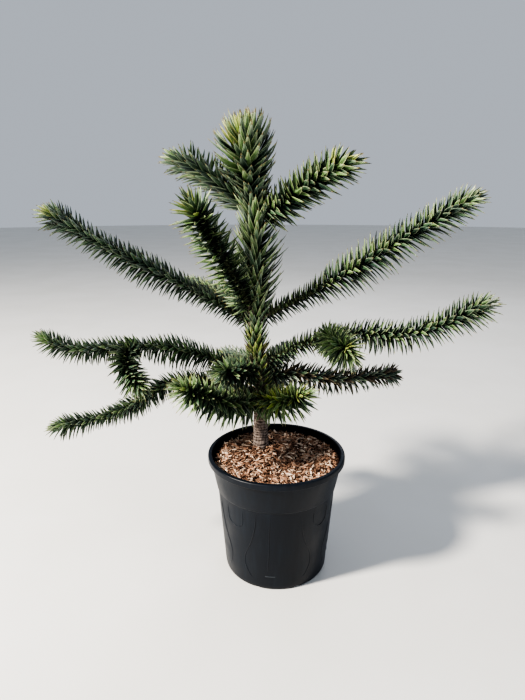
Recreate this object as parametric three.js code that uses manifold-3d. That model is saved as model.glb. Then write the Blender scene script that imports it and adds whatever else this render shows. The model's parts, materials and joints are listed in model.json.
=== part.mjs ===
// A monkey puzzle sapling in a round nursery pot. Millimetres, +Z up, with the front towards -Y.
// The origin is the middle of the pot's flat underside, and the plant stands a little behind it.
//
// One tapering trunk rises through four whorls. Each bough of a whorl is a short bare limb, and its
// leafy shoot goes on from the bough's end. Sleeves of leaves clothe the trunk between the whorls.
// Leaves stand round their stem in a spiral, each turned from the last by the golden angle, and a
// leaf that would leave the space round its own stem is left out.

import * as THREE from 'three';
import { mergeVertices } from 'three/addons/utils/BufferGeometryUtils.js';
import Module from 'manifold-3d';

const wasm = await Module();
wasm.setup();

// Clearance between two pieces that touch, and how near two corners are merged into one.
const GAP = 0.3;
const MERGE_DISTANCE = 1e-4;

// The pot: a tapered tub with a plain band below its rolled lip.
const POT = {
  height: 242,
  rimRadius: 134,
  lipHeight: 12,
  lipOverhang: 5.8,
  lipRound: 3,
  wall: 2.2,
  bandBottom: 176,
  bandBottomRadius: 117.5,
  bandStep: 2,
  baseRadius: 102.5,
  baseCorner: 9,
  floor: 4.5,
  sides: 32,
};
const DRAIN_NOTCH = { count: 8, width: 11, depth: 16, height: 3 };

// The filling: potting mix up to MIX_TOP, then a loose layer of bark that is heaped at the trunk. Its
// lumps repeat at about every lumpSpacing. FILL_GAP is its clearance to the pot's wall.
const MIX_TOP = 214;
const MULCH = { edgeTop: 227, heap: 10, heapReach: 90, lump: 1.6, lumpSpacing: 30, rings: 4 };
const FILL_GAP = 1.5 * GAP;

// The trunk's middle and radius at each height, from its foot on the potting mix to its tip.
const TRUNK_STATIONS = [
  { z: MIX_TOP + GAP, x: -31, y: 38, r: 18.5 },
  { z: 232, x: -31, y: 38, r: 16.5 },
  { z: 262, x: -31, y: 38, r: 14.3 },
  { z: 335, x: -31, y: 37, r: 13.2 },
  { z: 415, x: -34, y: 36, r: 11.2 },
  { z: 455, x: -41, y: 35, r: 10.4 },
  { z: 505, x: -39, y: 34, r: 9.6 },
  { z: 600, x: -39, y: 31, r: 8.2 },
  { z: 690, x: -41, y: 29, r: 7 },
  { z: 745, x: -51, y: 27, r: 5.8 },
  { z: 800, x: -55, y: 26, r: 4.4 },
  { z: 822, x: -54, y: 25, r: 3 },
];
const TRUNK_SIDES = 10;
const TRUNK_RING_STEP = 42;

// The limbs. On each, z is the height where it leaves the trunk, heading is its compass angle from
// +X at its foot and at its tip, and rise its angle above the level. Length runs from the trunk's
// middle to the tips of its last leaves, and leaf is the length of its longest leaves. Lean is how
// far they lean off the stem. Swell gives their shares of that length, because each year's growth
// starts and ends with shorter leaves. Lists are evenly spaced from foot to tip. A limb with a
// parent leaves that limb at a share of its length.
const LIMBS = [
  { name: 'w1_left', z: 350, heading: [187, 192], rise: [15, 17, -36, -12, -4], length: 431,
    leaf: 31, lean: 66, swell: [0.7, 0.75, 0.85, 0.95, 1, 0.98, 0.72, 1, 0.9] },
  { name: 'w1_front_left', z: 338, heading: [237, 213], rise: [2, 26, 34], length: 236,
    leaf: 48, lean: 64, swell: [1, 1, 0.95, 0.72] },
  { name: 'w1_front_right', z: 340, heading: [-70, -28], rise: [6, 20, 40], length: 160,
    leaf: 46, lean: 64, swell: [1, 1, 0.95, 0.7] },
  { name: 'w1_right', z: 380, heading: [18, 18], rise: [12, -18, 2, -3], length: 330,
    leaf: 38, lean: 66, swell: [0.75, 1, 0.95, 0.85, 1] },
  { name: 'w1_back_right', z: 352, heading: [78, 68], rise: [-5, -13], length: 180, leaf: 34 },
  { name: 'w1_back_left', z: 345, heading: [120, 113], rise: [-17, -25], length: 196, leaf: 34 },
  { name: 'w2_left', z: 404, heading: [174, 184], rise: [5, 17, -1, -4, 48], length: 453,
    leaf: 37, lean: 68, swell: [0.65, 0.68, 0.95, 1.1, 0.72, 0.92, 0.8, 0.85, 0.95] },
  { name: 'w2_right', z: 404, heading: [2, -6], rise: [36, 18, -6, 24, 31], length: 478,
    leaf: 45, lean: 70, swell: [0.6, 0.55, 0.7, 0.65, 0.9, 0.82, 0.85, 0.95, 0.88] },
  { name: 'w2_front', z: 399, heading: [230, 233], rise: [4, 27], length: 138, leaf: 42 },
  { name: 'w2_back_right', z: 394, heading: [71, 61], rise: [5, -3], length: 187, leaf: 32 },
  { name: 'w2_back_left', z: 412, heading: [113, 124], rise: [-7, -13], length: 200, leaf: 34 },
  { name: 'w3_left', z: 488, heading: [170, 177], rise: [29, 25, 33], length: 469,
    leaf: 43, lean: 62, swell: [0.55, 0.6, 0.68, 0.86, 1, 0.8, 0.86, 1, 1] },
  { name: 'w3_right', z: 500, heading: [-9, -13], rise: [25, 34, 31], length: 455,
    leaf: 50, lean: 60, swell: [0.62, 0.52, 0.58, 0.95, 1, 0.87, 0.82, 0.8, 0.84] },
  { name: 'w3_front', z: 503, heading: [220, 235], rise: [58, 54, 50], length: 295,
    leaf: 56, lean: 64, swell: [0.85, 0.88, 0.85, 1.05] },
  { name: 'w3_back_right', z: 492, heading: [89, 92], rise: [39, 26], length: 216, leaf: 34 },
  { name: 'w3_back_left', z: 508, heading: [133, 138], rise: [17, 4], length: 228, leaf: 30 },
  { name: 'w4_left', z: 690, heading: [150, 155], rise: [44, 28, 16], length: 228, leaf: 52,
    lean: 52 },
  { name: 'w4_right', z: 688, heading: [-27, -29], rise: [16, 34, 28, 21], length: 221, leaf: 50 },
  { name: 'w4_back', z: 706, heading: [91, 94], rise: [34, 25], length: 176, leaf: 36 },
  { name: 'w2_left_side', parent: 'w2_left', share: 0.53, heading: [-132, -85, -35, -27],
    rise: [11, -27, -40, -20], length: 160, leaf: 38 },
  { name: 'w2_right_side', parent: 'w2_right', share: 0.3, heading: [-85, -70], rise: [12, -14],
    length: 156, leaf: 43 },
];
const USUAL_LEAN = 58;
const USUAL_SWELL = [1, 1];

// A bough shows BARE_LENGTH of itself outside the trunk. SLIM_SCALE makes the boughs of the top
// whorl slimmer, and the stems of the side shoots.
const BARE_LENGTH = 20;
const BOUGH = { footRadius: 6.4, endRadius: 5.8, sides: 6, steps: 1 };
const SLIM_SCALE = 0.78;

// The stem inside a shoot's leaves. A side shoot's stem and leaves start a little way off its root.
const STEM = { footRadius: 6.8, tipRadius: 4.2, sides: 3, step: 34 };
const SIDE_START = { stem: 3.2, leaves: 14 };
const SPINE_STEPS = 40;

// The leaves: flat darts of LEAF_SIDES sides, widest near the stem, with a keel below. A leaf
// shorter than fullLength is narrower too. Leaves stand rootRadius off a shoot's middle line, one
// every LEAF_PITCH along it, from LEAF_END_GAP inside its ends. Their turns are off the even spiral
// by up to half of ROLL_SCATTER. A leaf keeps LEAF_MARGIN further from the neighbours than from its
// own stem at its tip, at its widest, and at LEAF_SAMPLE_SHARE of its length.
const LEAF_SIDES = 3;
const LEAF = { width: 19, fullLength: 34, thickness: 3, widest: 0.3, rootRadius: 0.7 };
const LEAF_PITCH = 7.4;
const LEAF_END_GAP = 3;
const LEAF_MARGIN = 1;
const LEAF_SAMPLE_SHARE = 0.65;
const GOLDEN_ANGLE = Math.PI * (3 - Math.sqrt(5));
const ROLL_SCATTER = 0.3;

// Over the last part of a shoot, its reach, the leaves close up to a small lean. The stem ends short
// of the shoot's length by a share of a leaf.
const SHOOT_TIP = { lean: 14, reach: 30, stemShort: 0.78 };

// The leaf sleeves on the trunk, from low to high. The last one closes over the trunk's tip.
const SLEEVES = [
  { name: 'trunk_leaves_low', from: 360, to: 390, leaf: 24, lean: 40, pitch: 4 },
  { name: 'trunk_leaves_middle', from: 422, to: 474, leaf: 28, lean: 36, pitch: 4 },
  { name: 'trunk_leaves_upper', from: 524, to: 674, leaf: 56, lean: 38, pitch: 4.6 },
  { name: 'leader_leaves', from: 716, to: 826, leaf: 72, lean: 46, pitch: 3.2, closed: true },
];

// A sleeve's thickness, how far outside the trunk its leaves are rooted, the bare margins at its
// ends, and how far off a bough may still pass through its leaves.
const SLEEVE_WALL = 3;
const SLEEVE_ROOT = 0.9;
const SLEEVE_MARGIN = { low: 7, high: 2 };
const SLEEVE_REACH = 30;

// The last sleeve's leaves close up as on a shoot, and shorten to a share of their length.
const LEADER_TIP = { lean: 8, reach: 60, share: 0.8 };

const FINISH = {
  pot: { color: 0x1d2022, roughness: 0.55, metalness: 0 },
  mix: { color: 0x3a2a1f, roughness: 0.95, metalness: 0 },
  mulch: { color: 0x8a5a3c, roughness: 0.95, metalness: 0 },
  bark: { color: 0x6b5140, roughness: 0.9, metalness: 0 },
  leaf: { color: 0x3f5f2e, roughness: 0.5, metalness: 0 },
  sunLeaf: { color: 0x6f8240, roughness: 0.5, metalness: 0 },
  dryLeaf: { color: 0x4a3c28, roughness: 0.7, metalness: 0 },
};

const plant = new THREE.Group();
plant.name = 'monkey_puzzle_sapling';

const radians = THREE.MathUtils.degToRad;

// A repeatable number from 0 to 1 for a whole number.
function scatter(n) {
  const wave = Math.sin(n * 12.9898 + 4.1414) * 43758.5453;
  return wave - Math.floor(wave);
}

// The value at a share from 0 to 1 of a list of evenly spaced values.
function along(values, share) {
  const place = THREE.MathUtils.clamp(share, 0, 1) * (values.length - 1);
  const low = Math.min(Math.floor(place), values.length - 2);
  return THREE.MathUtils.lerp(values[low], values[low + 1], place - low);
}

// A closed three.js geometry as a solid. Triangles that shrink to a line at a pole are dropped.
function toSolid(geometry) {
  const bare = geometry.clone();
  bare.deleteAttribute('normal');
  bare.deleteAttribute('uv');
  const merged = mergeVertices(bare, MERGE_DISTANCE);
  const corners = [];
  const index = merged.index.array;
  for (let i = 0; i < index.length; i += 3) {
    const [a, b, c] = [index[i], index[i + 1], index[i + 2]];
    if (a !== b && b !== c && c !== a) corners.push(a, b, c);
  }
  const vertProperties = new Float32Array(merged.attributes.position.array);
  const triVerts = new Uint32Array(corners);
  return new wasm.Manifold(new wasm.Mesh({ numProp: 3, vertProperties, triVerts }));
}

// A solid back as a three.js geometry.
function toGeometry(solid) {
  const mesh = solid.getMesh();
  const geometry = new THREE.BufferGeometry();
  geometry.setAttribute('position', new THREE.BufferAttribute(mesh.vertProperties, mesh.numProp));
  geometry.setIndex(new THREE.BufferAttribute(mesh.triVerts, 1));
  geometry.computeVertexNormals();
  return geometry;
}

function place(name, geometry, finish) {
  const mesh = new THREE.Mesh(geometry, new THREE.MeshStandardMaterial(finish));
  mesh.name = name;
  plant.add(mesh);
}

// Many solids joined, in pairs, into one.
function joinAll(solids) {
  let rest = solids;
  while (rest.length > 1) {
    const next = [];
    for (let i = 0; i < rest.length; i += 2) {
      next.push(i + 1 < rest.length ? rest[i].add(rest[i + 1]) : rest[i]);
    }
    rest = next;
  }
  return rest[0];
}

// A profile of radius and height points turned about +Z.
function turned(points, sides) {
  const profile = points.map(([r, z]) => new THREE.Vector2(r, z));
  return new THREE.LatheGeometry(profile, sides).rotateX(Math.PI / 2);
}

// The trunk's middle and radius at a height.
function trunkAt(z) {
  const last = TRUNK_STATIONS.length - 1;
  let i = 0;
  while (i < last - 1 && z > TRUNK_STATIONS[i + 1].z) i += 1;
  const [low, high] = [TRUNK_STATIONS[i], TRUNK_STATIONS[i + 1]];
  const t = THREE.MathUtils.clamp((z - low.z) / (high.z - low.z), 0, 1);
  const middle = new THREE.Vector3(
    THREE.MathUtils.lerp(low.x, high.x, t), THREE.MathUtils.lerp(low.y, high.y, t), z);
  return { middle, radius: THREE.MathUtils.lerp(low.r, high.r, t) };
}

// A unit cylinder carried over rings, with flat ends. Each ring has a middle and a radius, and the
// two crosswise directions that the cylinder's own X and Z turn to.
function tapered(rings, sides) {
  const steps = rings.length - 1;
  const geometry = new THREE.CylinderGeometry(1, 1, 1, sides, steps);
  const position = geometry.attributes.position;
  for (let i = 0; i < position.count; i += 1) {
    const ring = rings[Math.round((position.getY(i) + 0.5) * steps)];
    const moved = ring.middle.clone()
      .addScaledVector(ring.crossX, position.getX(i) * ring.radius)
      .addScaledVector(ring.crossZ, position.getZ(i) * ring.radius);
    position.setXYZ(i, moved.x, moved.y, moved.z);
  }
  return geometry;
}

// Level rings of the trunk between two heights, with their radius grown by an allowance.
function trunkRings(from, to, grow) {
  const steps = Math.max(2, Math.round((to - from) / TRUNK_RING_STEP));
  const rings = [];
  for (let i = 0; i <= steps; i += 1) {
    const { middle, radius } = trunkAt(THREE.MathUtils.lerp(from, to, i / steps));
    rings.push({
      middle,
      radius: radius + grow,
      crossX: new THREE.Vector3(1, 0, 0),
      crossZ: new THREE.Vector3(0, -1, 0),
    });
  }
  return rings;
}

// A limb's spine: points that march out from its root, each with its forward direction.
function spineOf(limb, root) {
  const step = limb.length / SPINE_STEPS;
  const points = [root.clone()];
  const ways = [];
  for (let i = 0; i < SPINE_STEPS; i += 1) {
    const share = (i + 0.5) / SPINE_STEPS;
    const heading = radians(along(limb.heading, share));
    const rise = radians(along(limb.rise, share));
    const way = new THREE.Vector3(
      Math.cos(heading) * Math.cos(rise), Math.sin(heading) * Math.cos(rise), Math.sin(rise));
    points.push(points[i].clone().addScaledVector(way, step));
    ways.push(way);
  }
  ways.push(ways[SPINE_STEPS - 1]);
  return { points, ways, length: limb.length };
}

// The place, forward direction and two crosswise directions at a distance along a spine.
function stationOf(spine, distance) {
  const share = THREE.MathUtils.clamp(distance / spine.length, 0, 1) * SPINE_STEPS;
  const low = Math.min(Math.floor(share), SPINE_STEPS - 1);
  const middle = spine.points[low].clone().lerp(spine.points[low + 1], share - low);
  const way = spine.ways[low].clone().lerp(spine.ways[low + 1], share - low).normalize();
  const crossX = new THREE.Vector3().crossVectors(way, new THREE.Vector3(0, 0, 1)).normalize();
  const crossZ = new THREE.Vector3().crossVectors(crossX, way).normalize();
  return { middle, way, crossX, crossZ };
}

// A tapering round limb along part of a spine.
function limbSolid(spine, from, to, footRadius, tipRadius, sides, steps) {
  const rings = [];
  for (let i = 0; i <= steps; i += 1) {
    const t = i / steps;
    const station = stationOf(spine, THREE.MathUtils.lerp(from, to, t));
    rings.push({ ...station, radius: THREE.MathUtils.lerp(footRadius, tipRadius, t) });
  }
  return toSolid(tapered(rings, sides));
}

// One leaf: a double cone of few sides, flattened, with its widest place near the root.
function leafShape(length, width) {
  const points = [[0, 0], [0.5, length * LEAF.widest], [0, length]];
  return turned(points, LEAF_SIDES).scale(width, LEAF.thickness, 1);
}

// A leaf turned and moved to its stem. It stands at the roll angle round the stem, its root is the
// given distance off the stem's middle, and it leans off the stem's forward direction. Its samples
// are the points that must keep to the stem's own space: the tip, a place behind it, and four places
// round the widest part.
function leafOn(station, roll, lean, length, width, rootRadius) {
  const outward = station.crossX.clone().multiplyScalar(Math.cos(roll))
    .addScaledVector(station.crossZ, Math.sin(roll));
  const reach = station.way.clone().multiplyScalar(Math.cos(lean))
    .addScaledVector(outward, Math.sin(lean)).normalize();
  const across = new THREE.Vector3().crossVectors(station.way, outward).normalize();
  const upper = new THREE.Vector3().crossVectors(reach, across).normalize();
  const root = station.middle.clone().addScaledVector(outward, rootRadius);
  const frame = new THREE.Matrix4().makeBasis(across, upper, reach).setPosition(root);
  const geometry = leafShape(length, width).applyMatrix4(frame);
  const middle = root.clone().addScaledVector(reach, length * LEAF.widest);
  const half = width / 2;
  const samples = [
    root.clone().addScaledVector(reach, length),
    root.clone().addScaledVector(reach, length * LEAF_SAMPLE_SHARE),
    middle.clone().addScaledVector(across, half),
    middle.clone().addScaledVector(across, -half),
    middle.clone().addScaledVector(upper, LEAF.thickness),
    middle.clone().addScaledVector(upper, -LEAF.thickness),
  ];
  return { geometry, samples };
}

// The nearest distance from a point to a row of points, taken as straight stretches.
function distanceTo(point, row) {
  let best = Infinity;
  const nearest = new THREE.Vector3();
  const stretch = new THREE.Line3();
  for (let i = 0; i + 1 < row.length; i += 2) {
    stretch.set(row[i], row[Math.min(i + 2, row.length - 1)]);
    stretch.closestPointToPoint(point, true, nearest);
    best = Math.min(best, nearest.distanceTo(point));
  }
  return best;
}

// Whether every sample is nearer to its own row than to all the others, with room to spare.
function keepsItsSpace(samples, ownName) {
  return samples.every((sample) => {
    const own = distanceTo(sample, rows.get(ownName));
    for (const [name, row] of rows) {
      if (name !== ownName && distanceTo(sample, row) < own + LEAF_MARGIN) return false;
    }
    const trunk = trunkAt(sample.z);
    const aside = Math.hypot(sample.x - trunk.middle.x, sample.y - trunk.middle.y);
    return ownName === 'trunk' || aside > trunk.radius + LEAF_MARGIN;
  });
}

// The trunk, its slightly larger copy that cuts clearance, and the row of points up its middle.
const trunkTop = TRUNK_STATIONS[TRUNK_STATIONS.length - 1].z;
const trunkFoot = TRUNK_STATIONS[0].z;
const trunkSolid = toSolid(tapered(trunkRings(trunkFoot, trunkTop, 0), TRUNK_SIDES));
const cutterRings = trunkRings(trunkFoot - GAP, trunkTop + GAP, GAP);
const trunkCutter = toSolid(tapered(cutterRings, TRUNK_SIDES));
const rows = new Map();
rows.set('trunk', trunkRings(trunkFoot, trunkTop, 0).map((ring) => ring.middle));

// The pot: its outside from the flat underside up to the lip, then the inside down to the floor.
function potOutline() {
  const { height, rimRadius, lipHeight, lipOverhang, lipRound, wall } = POT;
  const wallTopRadius = rimRadius - lipOverhang;
  const lipBottom = height - lipHeight;
  const bodyTopRadius = POT.bandBottomRadius - POT.bandStep;
  const corner = POT.baseCorner;
  const soft = corner * (1 - Math.SQRT1_2);
  const outside = [
    [0, 0],
    [POT.baseRadius - corner, 0],
    [POT.baseRadius - soft, soft],
    [POT.baseRadius, corner],
    [bodyTopRadius, POT.bandBottom - POT.bandStep],
    [POT.bandBottomRadius, POT.bandBottom],
    [wallTopRadius, lipBottom],
    [rimRadius, lipBottom],
    [rimRadius, height - lipRound],
    [rimRadius - lipRound, height],
  ];
  const inside = [
    [wallTopRadius - wall, height],
    [wallTopRadius - wall, lipBottom],
    [POT.bandBottomRadius - wall - POT.bandStep, POT.bandBottom],
    [POT.baseRadius - wall, corner],
    [POT.baseRadius - corner, POT.floor],
    [0, POT.floor],
  ];
  return [...outside, ...inside];
}

function buildPot() {
  let solid = toSolid(turned(potOutline(), POT.sides));
  for (let i = 0; i < DRAIN_NOTCH.count; i += 1) {
    const turn = (2 * Math.PI * (i + 0.5)) / DRAIN_NOTCH.count;
    const notch = new THREE.BoxGeometry(DRAIN_NOTCH.depth, DRAIN_NOTCH.width, 2 * DRAIN_NOTCH.height)
      .translate(POT.baseRadius, 0, 0)
      .rotateZ(turn);
    solid = solid.subtract(toSolid(notch));
  }
  place('pot', toGeometry(solid), FINISH.pot);
}

// The inside radius of the pot at a height, less the filling's clearance.
function fillRadius(z) {
  const inside = [
    { z: POT.floor, r: POT.baseRadius - POT.baseCorner },
    { z: POT.baseCorner, r: POT.baseRadius - POT.wall },
    { z: POT.bandBottom, r: POT.bandBottomRadius - POT.wall - POT.bandStep },
    { z: POT.height - POT.lipHeight, r: POT.rimRadius - POT.lipOverhang - POT.wall },
  ];
  let i = 0;
  while (i < inside.length - 2 && z > inside[i + 1].z) i += 1;
  const [low, high] = [inside[i], inside[i + 1]];
  const t = (z - low.z) / (high.z - low.z);
  return THREE.MathUtils.lerp(low.r, high.r, t) - FILL_GAP;
}

function buildPottingMix() {
  const floor = POT.floor + GAP;
  const outline = [
    [0, floor],
    [fillRadius(floor), floor],
    [fillRadius(POT.baseCorner), POT.baseCorner],
    [fillRadius(POT.bandBottom), POT.bandBottom],
    [fillRadius(MIX_TOP), MIX_TOP],
    [0, MIX_TOP],
  ];
  place('potting_mix', toGeometry(toSolid(turned(outline, POT.sides))), FINISH.mix);
}

// The bark layer: level at the wall, heaped towards the trunk, and slightly lumpy.
function buildMulch() {
  const bottom = MIX_TOP + GAP;
  const wave = (2 * Math.PI) / MULCH.lumpSpacing;
  const foot = TRUNK_STATIONS[0];
  const outline = [[0, bottom], [fillRadius(bottom), bottom]];
  for (let i = 0; i < MULCH.rings; i += 1) {
    outline.push([fillRadius(MULCH.edgeTop) * (1 - i / MULCH.rings), MULCH.edgeTop]);
  }
  outline.push([0, MULCH.edgeTop]);
  const geometry = turned(outline, POT.sides);
  const position = geometry.attributes.position;
  for (let i = 0; i < position.count; i += 1) {
    const [x, y, z] = [position.getX(i), position.getY(i), position.getZ(i)];
    if (z > bottom + GAP && Math.hypot(x, y) < fillRadius(MULCH.edgeTop) - GAP) {
      const near = Math.max(0, 1 - Math.hypot(x - foot.x, y - foot.y) / MULCH.heapReach);
      const lump = Math.sin(x * wave + 1) * Math.cos(y * wave) * MULCH.lump;
      position.setZ(i, z + MULCH.heap * near * near * (3 - 2 * near) + lump);
    }
  }
  place('bark_mulch', toGeometry(toSolid(geometry).subtract(trunkCutter)), FINISH.mulch);
}

// The leaves of one stem that keep to its space. The rule gives each leaf its place and form.
function leavesAlong(count, rule) {
  const leaves = [];
  for (let i = 0; i < count; i += 1) {
    const { station, lean, length, owner, rootRadius } = rule(i);
    const roll = i * GOLDEN_ANGLE + (scatter(i) - 0.5) * ROLL_SCATTER;
    const width = LEAF.width * Math.min(1, length / LEAF.fullLength);
    const leaf = leafOn(station, roll, radians(lean), length, width, rootRadius);
    if (keepsItsSpace(leaf.samples, owner)) leaves.push(toSolid(leaf.geometry));
  }
  return leaves;
}

// How near a place is to a tip: 1 at the tip, falling to 0 at the tip's reach.
function nearness(fromTip, reach) {
  return THREE.MathUtils.clamp(1 - fromTip / reach, 0, 1);
}

// How far the leaf at a distance along a limb leans off its stem, and how long it is.
function leafForm(limb, distance, fromTip) {
  const nearTip = nearness(fromTip, SHOOT_TIP.reach);
  const share = along(limb.swell ?? USUAL_SWELL, distance / limb.length);
  const lean = THREE.MathUtils.lerp(limb.lean ?? USUAL_LEAN, SHOOT_TIP.lean, nearTip);
  return { lean, length: limb.leaf * share };
}

function finishOf(limb) {
  if (limb.name === 'w1_right') return FINISH.dryLeaf;
  return limb.name.startsWith('w4') ? FINISH.sunLeaf : FINISH.leaf;
}

// The spines first, because each leaf's space depends on all of them.
for (const limb of LIMBS) {
  const parent = LIMBS.find((other) => other.name === limb.parent);
  limb.root = parent
    ? stationOf(parent.spine, parent.length * limb.share).middle
    : trunkAt(limb.z).middle;
  limb.spine = spineOf(limb, limb.root);
  rows.set(limb.name, limb.spine.points);
}

// A bough runs from inside the trunk to its bare end, and the trunk's clearance is cut from it.
function buildBough(limb) {
  const scale = limb.name.startsWith('w4') ? SLIM_SCALE : 1;
  const inTrunk = trunkAt(limb.z).radius / Math.cos(radians(limb.rise[0]));
  limb.bare = inTrunk + BARE_LENGTH;
  const [foot, end] = [BOUGH.footRadius * scale, BOUGH.endRadius * scale];
  const solid = limbSolid(limb.spine, 0, limb.bare, foot, end, BOUGH.sides, BOUGH.steps);
  place(`bough_${limb.name}`, toGeometry(solid.subtract(trunkCutter)), FINISH.bark);
  limb.stemRadius = STEM.footRadius * scale;
  limb.cutter = limbSolid(
    limb.spine, 0, limb.bare, foot + GAP, end + GAP, BOUGH.sides, BOUGH.steps);
}

// A leafy shoot: a slim stem with its leaves fused on. It starts a clearance past its bough's end,
// or, as a side shoot, at the surface of the stem that carries it.
function buildShoot(limb) {
  const parent = LIMBS.find((other) => other.name === limb.parent);
  const start = parent ? SIDE_START.stem : limb.bare + GAP;
  const footRadius = limb.stemRadius ?? STEM.footRadius * SLIM_SCALE;
  const lastSwell = (limb.swell ?? USUAL_SWELL).at(-1);
  const end = limb.length - limb.leaf * lastSwell * SHOOT_TIP.stemShort;
  const steps = Math.max(2, Math.round((end - start) / STEM.step));
  const stem = limbSolid(limb.spine, start, end, footRadius, STEM.tipRadius, STEM.sides, steps);
  const firstLeaf = start + (parent ? SIDE_START.leaves : LEAF_END_GAP);
  const lastLeaf = end - LEAF_END_GAP;
  const count = Math.floor((lastLeaf - firstLeaf) / LEAF_PITCH) + 1;
  const leaves = leavesAlong(count, (i) => {
    const distance = lastLeaf - i * LEAF_PITCH;
    return {
      station: stationOf(limb.spine, distance),
      owner: limb.name,
      rootRadius: LEAF.rootRadius,
      ...leafForm(limb, distance, lastLeaf - distance),
    };
  });
  let solid = joinAll([stem, ...leaves]);
  if (parent) solid = solid.subtract(parent.stemCutter);
  const grow = GAP / Math.cos(Math.PI / STEM.sides);
  limb.stemCutter = limbSolid(
    limb.spine, start, end, footRadius + grow, STEM.tipRadius + grow, STEM.sides, steps);
  place(`shoot_${limb.name}`, toGeometry(solid), finishOf(limb));
}

// A sleeve of leaves round the trunk, cut clear of it and of the boughs that pass it. Each leaf
// comes out of the sleeve at its own height, from a root sunk in the sleeve's wall.
function buildSleeve(sleeve) {
  const { name, from, to, leaf, lean, pitch, closed } = sleeve;
  const core = toSolid(tapered(trunkRings(from, to, SLEEVE_WALL), TRUNK_SIDES));
  const count = Math.floor((to - from - SLEEVE_MARGIN.low - SLEEVE_MARGIN.high) / pitch) + 1;
  const leaves = leavesAlong(count, (i) => {
    const z = to - SLEEVE_MARGIN.high - i * pitch;
    const nearTip = closed ? nearness(to - z, LEADER_TIP.reach) : 0;
    const leafLean = THREE.MathUtils.lerp(lean, LEADER_TIP.lean, nearTip);
    const rootZ = z - (SLEEVE_WALL - SLEEVE_ROOT) / Math.tan(radians(leafLean));
    return {
      station: {
        middle: trunkAt(rootZ).middle,
        way: new THREE.Vector3(0, 0, 1),
        crossX: new THREE.Vector3(1, 0, 0),
        crossZ: new THREE.Vector3(0, -1, 0),
      },
      owner: 'trunk',
      rootRadius: trunkAt(rootZ).radius + SLEEVE_ROOT,
      lean: leafLean,
      length: leaf * THREE.MathUtils.lerp(1, LEADER_TIP.share, nearTip),
    };
  });
  let solid = joinAll([core, ...leaves]).subtract(trunkCutter);
  for (const limb of LIMBS) {
    if (limb.cutter && limb.z > from - SLEEVE_REACH && limb.z < to + SLEEVE_REACH) {
      solid = solid.subtract(limb.cutter);
    }
  }
  place(name, toGeometry(solid), FINISH.sunLeaf);
}

buildPot();
buildPottingMix();
buildMulch();
place('trunk', toGeometry(trunkSolid), FINISH.bark);
LIMBS.filter((limb) => !limb.parent).forEach(buildBough);
LIMBS.forEach(buildShoot);
SLEEVES.forEach(buildSleeve);

export default plant;
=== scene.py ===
"""The monkey puzzle sapling in its nursery pot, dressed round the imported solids.

Sizes are in millimetres until a mesh is made, in the frame of the solids: the origin is the middle
of the pot's flat underside, +Z is up and the front looks towards -Y.

The plant grows by the same rule as its solids, carried finer. Each limb's spine marches out from
the trunk by its heading and rise. Leaves stand round it in a spiral of the golden angle, and a leaf
that another stem would run through is left out.
"""

import itertools
import json
import logging
import math
from collections.abc import Callable, Sequence
from dataclasses import dataclass, field
from enum import Enum
from functools import partial

import bpy
import numpy as np
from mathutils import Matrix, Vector

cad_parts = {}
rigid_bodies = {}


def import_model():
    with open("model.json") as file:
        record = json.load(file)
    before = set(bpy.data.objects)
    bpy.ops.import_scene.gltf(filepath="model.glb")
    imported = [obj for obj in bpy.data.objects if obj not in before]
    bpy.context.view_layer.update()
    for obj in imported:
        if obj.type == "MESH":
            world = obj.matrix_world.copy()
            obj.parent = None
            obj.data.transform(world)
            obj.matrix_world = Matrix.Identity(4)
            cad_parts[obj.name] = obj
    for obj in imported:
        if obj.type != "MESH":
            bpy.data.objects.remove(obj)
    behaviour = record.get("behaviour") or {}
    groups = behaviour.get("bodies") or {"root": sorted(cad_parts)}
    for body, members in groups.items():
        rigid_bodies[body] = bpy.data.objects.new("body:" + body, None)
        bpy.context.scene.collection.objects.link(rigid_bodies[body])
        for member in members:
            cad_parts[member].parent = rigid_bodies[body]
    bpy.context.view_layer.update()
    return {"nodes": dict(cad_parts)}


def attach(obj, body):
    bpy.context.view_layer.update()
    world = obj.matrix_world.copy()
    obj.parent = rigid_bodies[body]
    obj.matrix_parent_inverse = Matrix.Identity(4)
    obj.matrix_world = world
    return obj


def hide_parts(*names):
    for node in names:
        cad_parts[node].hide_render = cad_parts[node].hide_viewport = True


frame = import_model()

Array = np.ndarray
Material = bpy.types.Material

log = logging.getLogger("sapling")

MM = 0.001
BODY = "root"
WORLD_UP = np.array([0.0, 0.0, 1.0])
GOLDEN_ANGLE = math.pi * (3 - math.sqrt(5))

# Seeds of the random numbers. Limbs and kinds of chip count on from the first and the last.
LEAF_SEED = 5
TRUNK_SEED = 105
CHIP_SEED = 205

# Where the key lamp hangs, in metres. Leaves that face it take the paler tones as painted sunlight.
SUN_PLACE = (-2.9, -1.3, 2.6)

# The size of the table behind lattice_noise, and the large odd numbers that spread the lattice's
# corners over it.
NOISE_TABLE = 4096
NOISE_KEYS = np.array([73856093, 19349663, 83492791])


def unit(vectors: Array) -> Array:
    """Vectors scaled to length 1 along the last axis."""
    return vectors / np.linalg.norm(vectors, axis=-1, keepdims=True)


def blend(low: Array, high: Array, share: Array) -> Array:
    """The value at a share of the way from low to high."""
    return low + (high - low) * share


def smoothstep(value: Array) -> Array:
    """3t^2 - 2t^3 of a value held between 0 and 1."""
    held = np.clip(value, 0, 1)
    return held * held * (3 - 2 * held)


def along(values: Sequence[float], share: Array) -> Array:
    """The value at a share from 0 to 1 of a row of evenly spaced values."""
    return np.interp(share, np.linspace(0, 1, len(values)), values)


def even_turn(count: int) -> Array:
    """The angles of even steps round a full turn, in radians."""
    return np.arange(count) * 2 * math.pi / count


def direction(turn: Array, lift: Array) -> Array:
    """The direction (cos t cos l, sin t cos l, sin l) for a compass angle t and a rise l."""
    return np.stack([np.cos(turn) * np.cos(lift), np.sin(turn) * np.cos(lift), np.sin(lift)], -1)


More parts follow.
